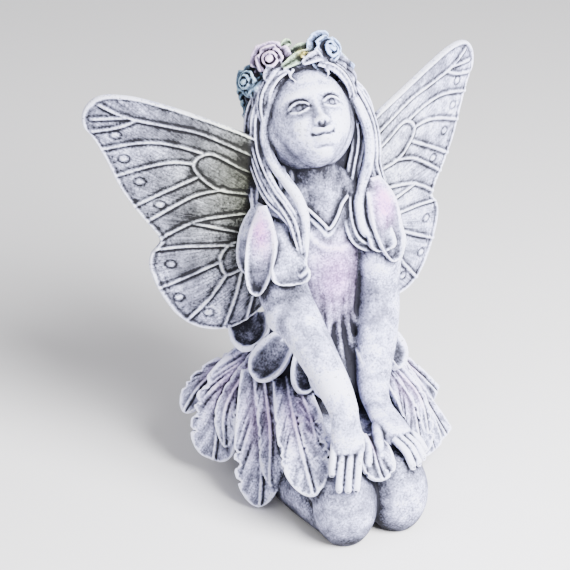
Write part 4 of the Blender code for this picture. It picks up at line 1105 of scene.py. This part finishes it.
class Nodes:
    """Short ways to add, set and link the nodes of a material or world."""

    def __init__(self, owner):
        owner.use_nodes = True
        self.tree = owner.node_tree

    def put(self, name, inputs):
        """Sets a node's inputs to numbers or colours, or links them to other nodes' outputs."""
        node = self.tree.nodes[name]
        for key, value in inputs.items():
            if isinstance(value, bpy.types.NodeSocket):
                self.tree.links.new(value, node.inputs[key])
            else:
                node.inputs[key].default_value = value

    def add(self, kind, output, inputs, **settings):
        """One output of a new node."""
        node = self.tree.nodes.new(kind)
        for key, value in settings.items():
            setattr(node, key, value)
        self.put(node.name, inputs)
        return node.outputs[output]

    def attribute(self, name, output="Fac"):
        return self.add("ShaderNodeAttribute", output, {}, attribute_name=name)

    def math(self, operation, a, b, clamp=False):
        return self.add("ShaderNodeMath", 0, {0: a, 1: b}, operation=operation, use_clamp=clamp)

    def times(self, a, b):
        return self.math("MULTIPLY", a, b)

    def total(self, first, *others):
        for other in others:
            first = self.math("ADD", first, other)
        return first

    def noise(self, place, scale, detail, rough=0.5):
        return self.add("ShaderNodeTexNoise", "Fac",
                        {"Vector": place, "Scale": scale, "Detail": detail, "Roughness": rough})

    def line_noise(self, place, lines):
        """Irregular stripes of about a millimetre across the lines, which change slowly along them."""
        slow = self.add("ShaderNodeVectorMath", 0, {0: place, "Scale": 70}, operation="SCALE")
        return self.add("ShaderNodeTexNoise", "Fac", {"Vector": slow, "W": lines, "Scale": 1, "Detail": 2},
                        noise_dimensions="4D")

    def centred(self, noise, amount):
        """Noise as a signed amount round nought."""
        return self.times(self.math("SUBTRACT", noise, 0.5), amount)

    def ramp(self, fac, stops):
        """Colours, or greys where a stop gives one number, between positions."""
        node = self.tree.nodes.new("ShaderNodeValToRGB")
        elements = node.color_ramp.elements
        while len(elements) < len(stops):
            elements.new(0.5)
        for element, (position, colour) in zip(elements, stops):
            element.position = position
            element.color = (*colour, 1) if isinstance(colour, tuple) else (colour, colour, colour, 1)
        self.put(node.name, {0: fac})
        return node.outputs[0]

    def stain(self, amount, colour, over):
        """A colour with another multiplied over it by some amount."""
        return self.add("ShaderNodeMix", 2, {0: amount, 6: colour, 7: over}, data_type="RGBA",
                        blend_type="MULTIPLY")


# Noise scales, in cycles per metre, and the reach of the painted shade in hollows
PATCHES, BLOTCHES, DIRT, GRAIN, PITS = 48, 170, 620, 1000, 1100
SHADE_REACH = 13 * MM

# The paint from bare wash to full whitewash, and how low its noise is in a pit or speck
WASH = ((0.0, (0.011, 0.011, 0.017)), (0.33, (0.105, 0.108, 0.16)), (0.62, (0.26, 0.268, 0.41)),
        (0.88, (0.59, 0.61, 0.93)), (1.0, (0.78, 0.79, 1.0)))
SPOTS = ((0.27, 0.0), (0.33, 1.0))


def cast_material():
    """Dark slate wash and painted shade in the hollows, whitewash on what stands out, faint colour over it,
    pits and grain.
    """
    material = bpy.data.materials.new("whitewashed_cast")
    nodes = Nodes(material)
    place = nodes.add("ShaderNodeTexCoord", "Object", {})
    patch = nodes.noise(place, PATCHES, detail=2)
    blotch = nodes.noise(place, BLOTCHES, detail=4)
    grain = nodes.noise(place, GRAIN, detail=3, rough=0.6)
    lined = nodes.attribute("lined")
    line = nodes.line_noise(place, nodes.attribute("lines"))
    # ambient occlusion darkens the paint in hollows and where parts hide each other, between the arms and
    # under the sleeves and wings: partly the wash that settles in hollows, partly painted shade
    light = nodes.add("ShaderNodeAmbientOcclusion", "AO", {"Distance": SHADE_REACH}, samples=8)
    shade = nodes.times(nodes.math("SUBTRACT", 1.0, light), 0.8)
    level = nodes.total(nodes.attribute("cover"), nodes.attribute("ridge"),
                        nodes.times(nodes.attribute("broad"), 0.35), nodes.centred(patch, 0.75),
                        nodes.centred(blotch, 1.0), nodes.centred(grain, nodes.times(patch, 2.3)),
                        nodes.times(lined, nodes.centred(line, 0.9)))
    # the whitewash level, lowered by the painted shade, picks the paint from dark wash to white
    wash = nodes.ramp(nodes.math("SUBTRACT", level, shade, clamp=True), WASH)
    pits = nodes.ramp(nodes.noise(place, PITS, detail=1), SPOTS)
    specks = nodes.ramp(nodes.total(nodes.noise(place, DIRT, detail=2), nodes.centred(patch, 0.5)), SPOTS)
    colour = nodes.stain(nodes.attribute("tinted"), wash, nodes.attribute("tint", "Color"))
    colour = nodes.stain(0.4, nodes.stain(0.7, colour, pits), specks)
    height = nodes.total(grain, pits, nodes.times(lined, line))
    bump = {"Strength": 0.45, "Distance": 0.25 * MM, "Height": height}
    nodes.put("Principled BSDF", {
        "Base Color": colour,
        "Specular IOR Level": 0.13,
        "Roughness": nodes.ramp(grain, ((0.3, 0.68), (0.7, 0.86))),
        "Normal": nodes.add("ShaderNodeBump", "Normal", bump),
    })
    return material


# ---- studio

AZIMUTH, ELEVATION = np.radians(-24), np.radians(25)
CAMERA_DISTANCE = 1.182
LENS = 164.2
AIM = Vector((-0.0169, 0.0198, 0.0969))


def towards(azimuth, elevation):
    level = np.cos(elevation)
    return Vector((np.sin(azimuth) * level, -np.cos(azimuth) * level, np.sin(elevation)))


def add_object(name, data, location, back):
    """An object whose local Z looks along `back`."""
    obj = bpy.data.objects.new(name, data)
    obj.location = location
    obj.rotation_euler = back.to_track_quat("Z", "Y").to_euler()
    bpy.context.scene.collection.objects.link(obj)
    return obj


def camera():
    data = bpy.data.cameras.new("camera")
    data.lens = LENS
    data.clip_end = 20
    back = towards(AZIMUTH, ELEVATION)
    bpy.context.scene.camera = add_object("camera", data, AIM + back * CAMERA_DISTANCE, back)


def softbox(name, aim, azimuth, elevation, distance, size, power):
    data = bpy.data.lights.new(name, "AREA")
    data.shape = "DISK"
    data.size = size
    data.energy = power
    back = towards(np.radians(azimuth), np.radians(elevation))
    add_object(name, data, aim + back * distance, back)


def studio():
    softbox("key", Vector((0.05, -0.28, 0)), azimuth=25, elevation=55, distance=0.75, size=0.6, power=51)
    softbox("fill", AIM, azimuth=-60, elevation=35, distance=1.8, size=1.4, power=8)
    world = bpy.data.worlds.new("studio")
    bpy.context.scene.world = world
    Nodes(world).put("Background", {"Color": (0.83, 0.825, 0.84, 1), "Strength": 0.73})
    bpy.ops.mesh.primitive_plane_add(size=12, location=(0, 0, 0))
    floor = bpy.context.object
    floor.name = "floor"
    paper = bpy.data.materials.new("paper")
    Nodes(paper).put("Principled BSDF", {"Base Color": (0.82, 0.81, 0.825, 1), "Roughness": 0.9})
    floor.data.materials.append(paper)


camera()
fairy = figurine()
fairy.data.materials.append(cast_material())
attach(fairy, "root")
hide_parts(NODE)
studio()
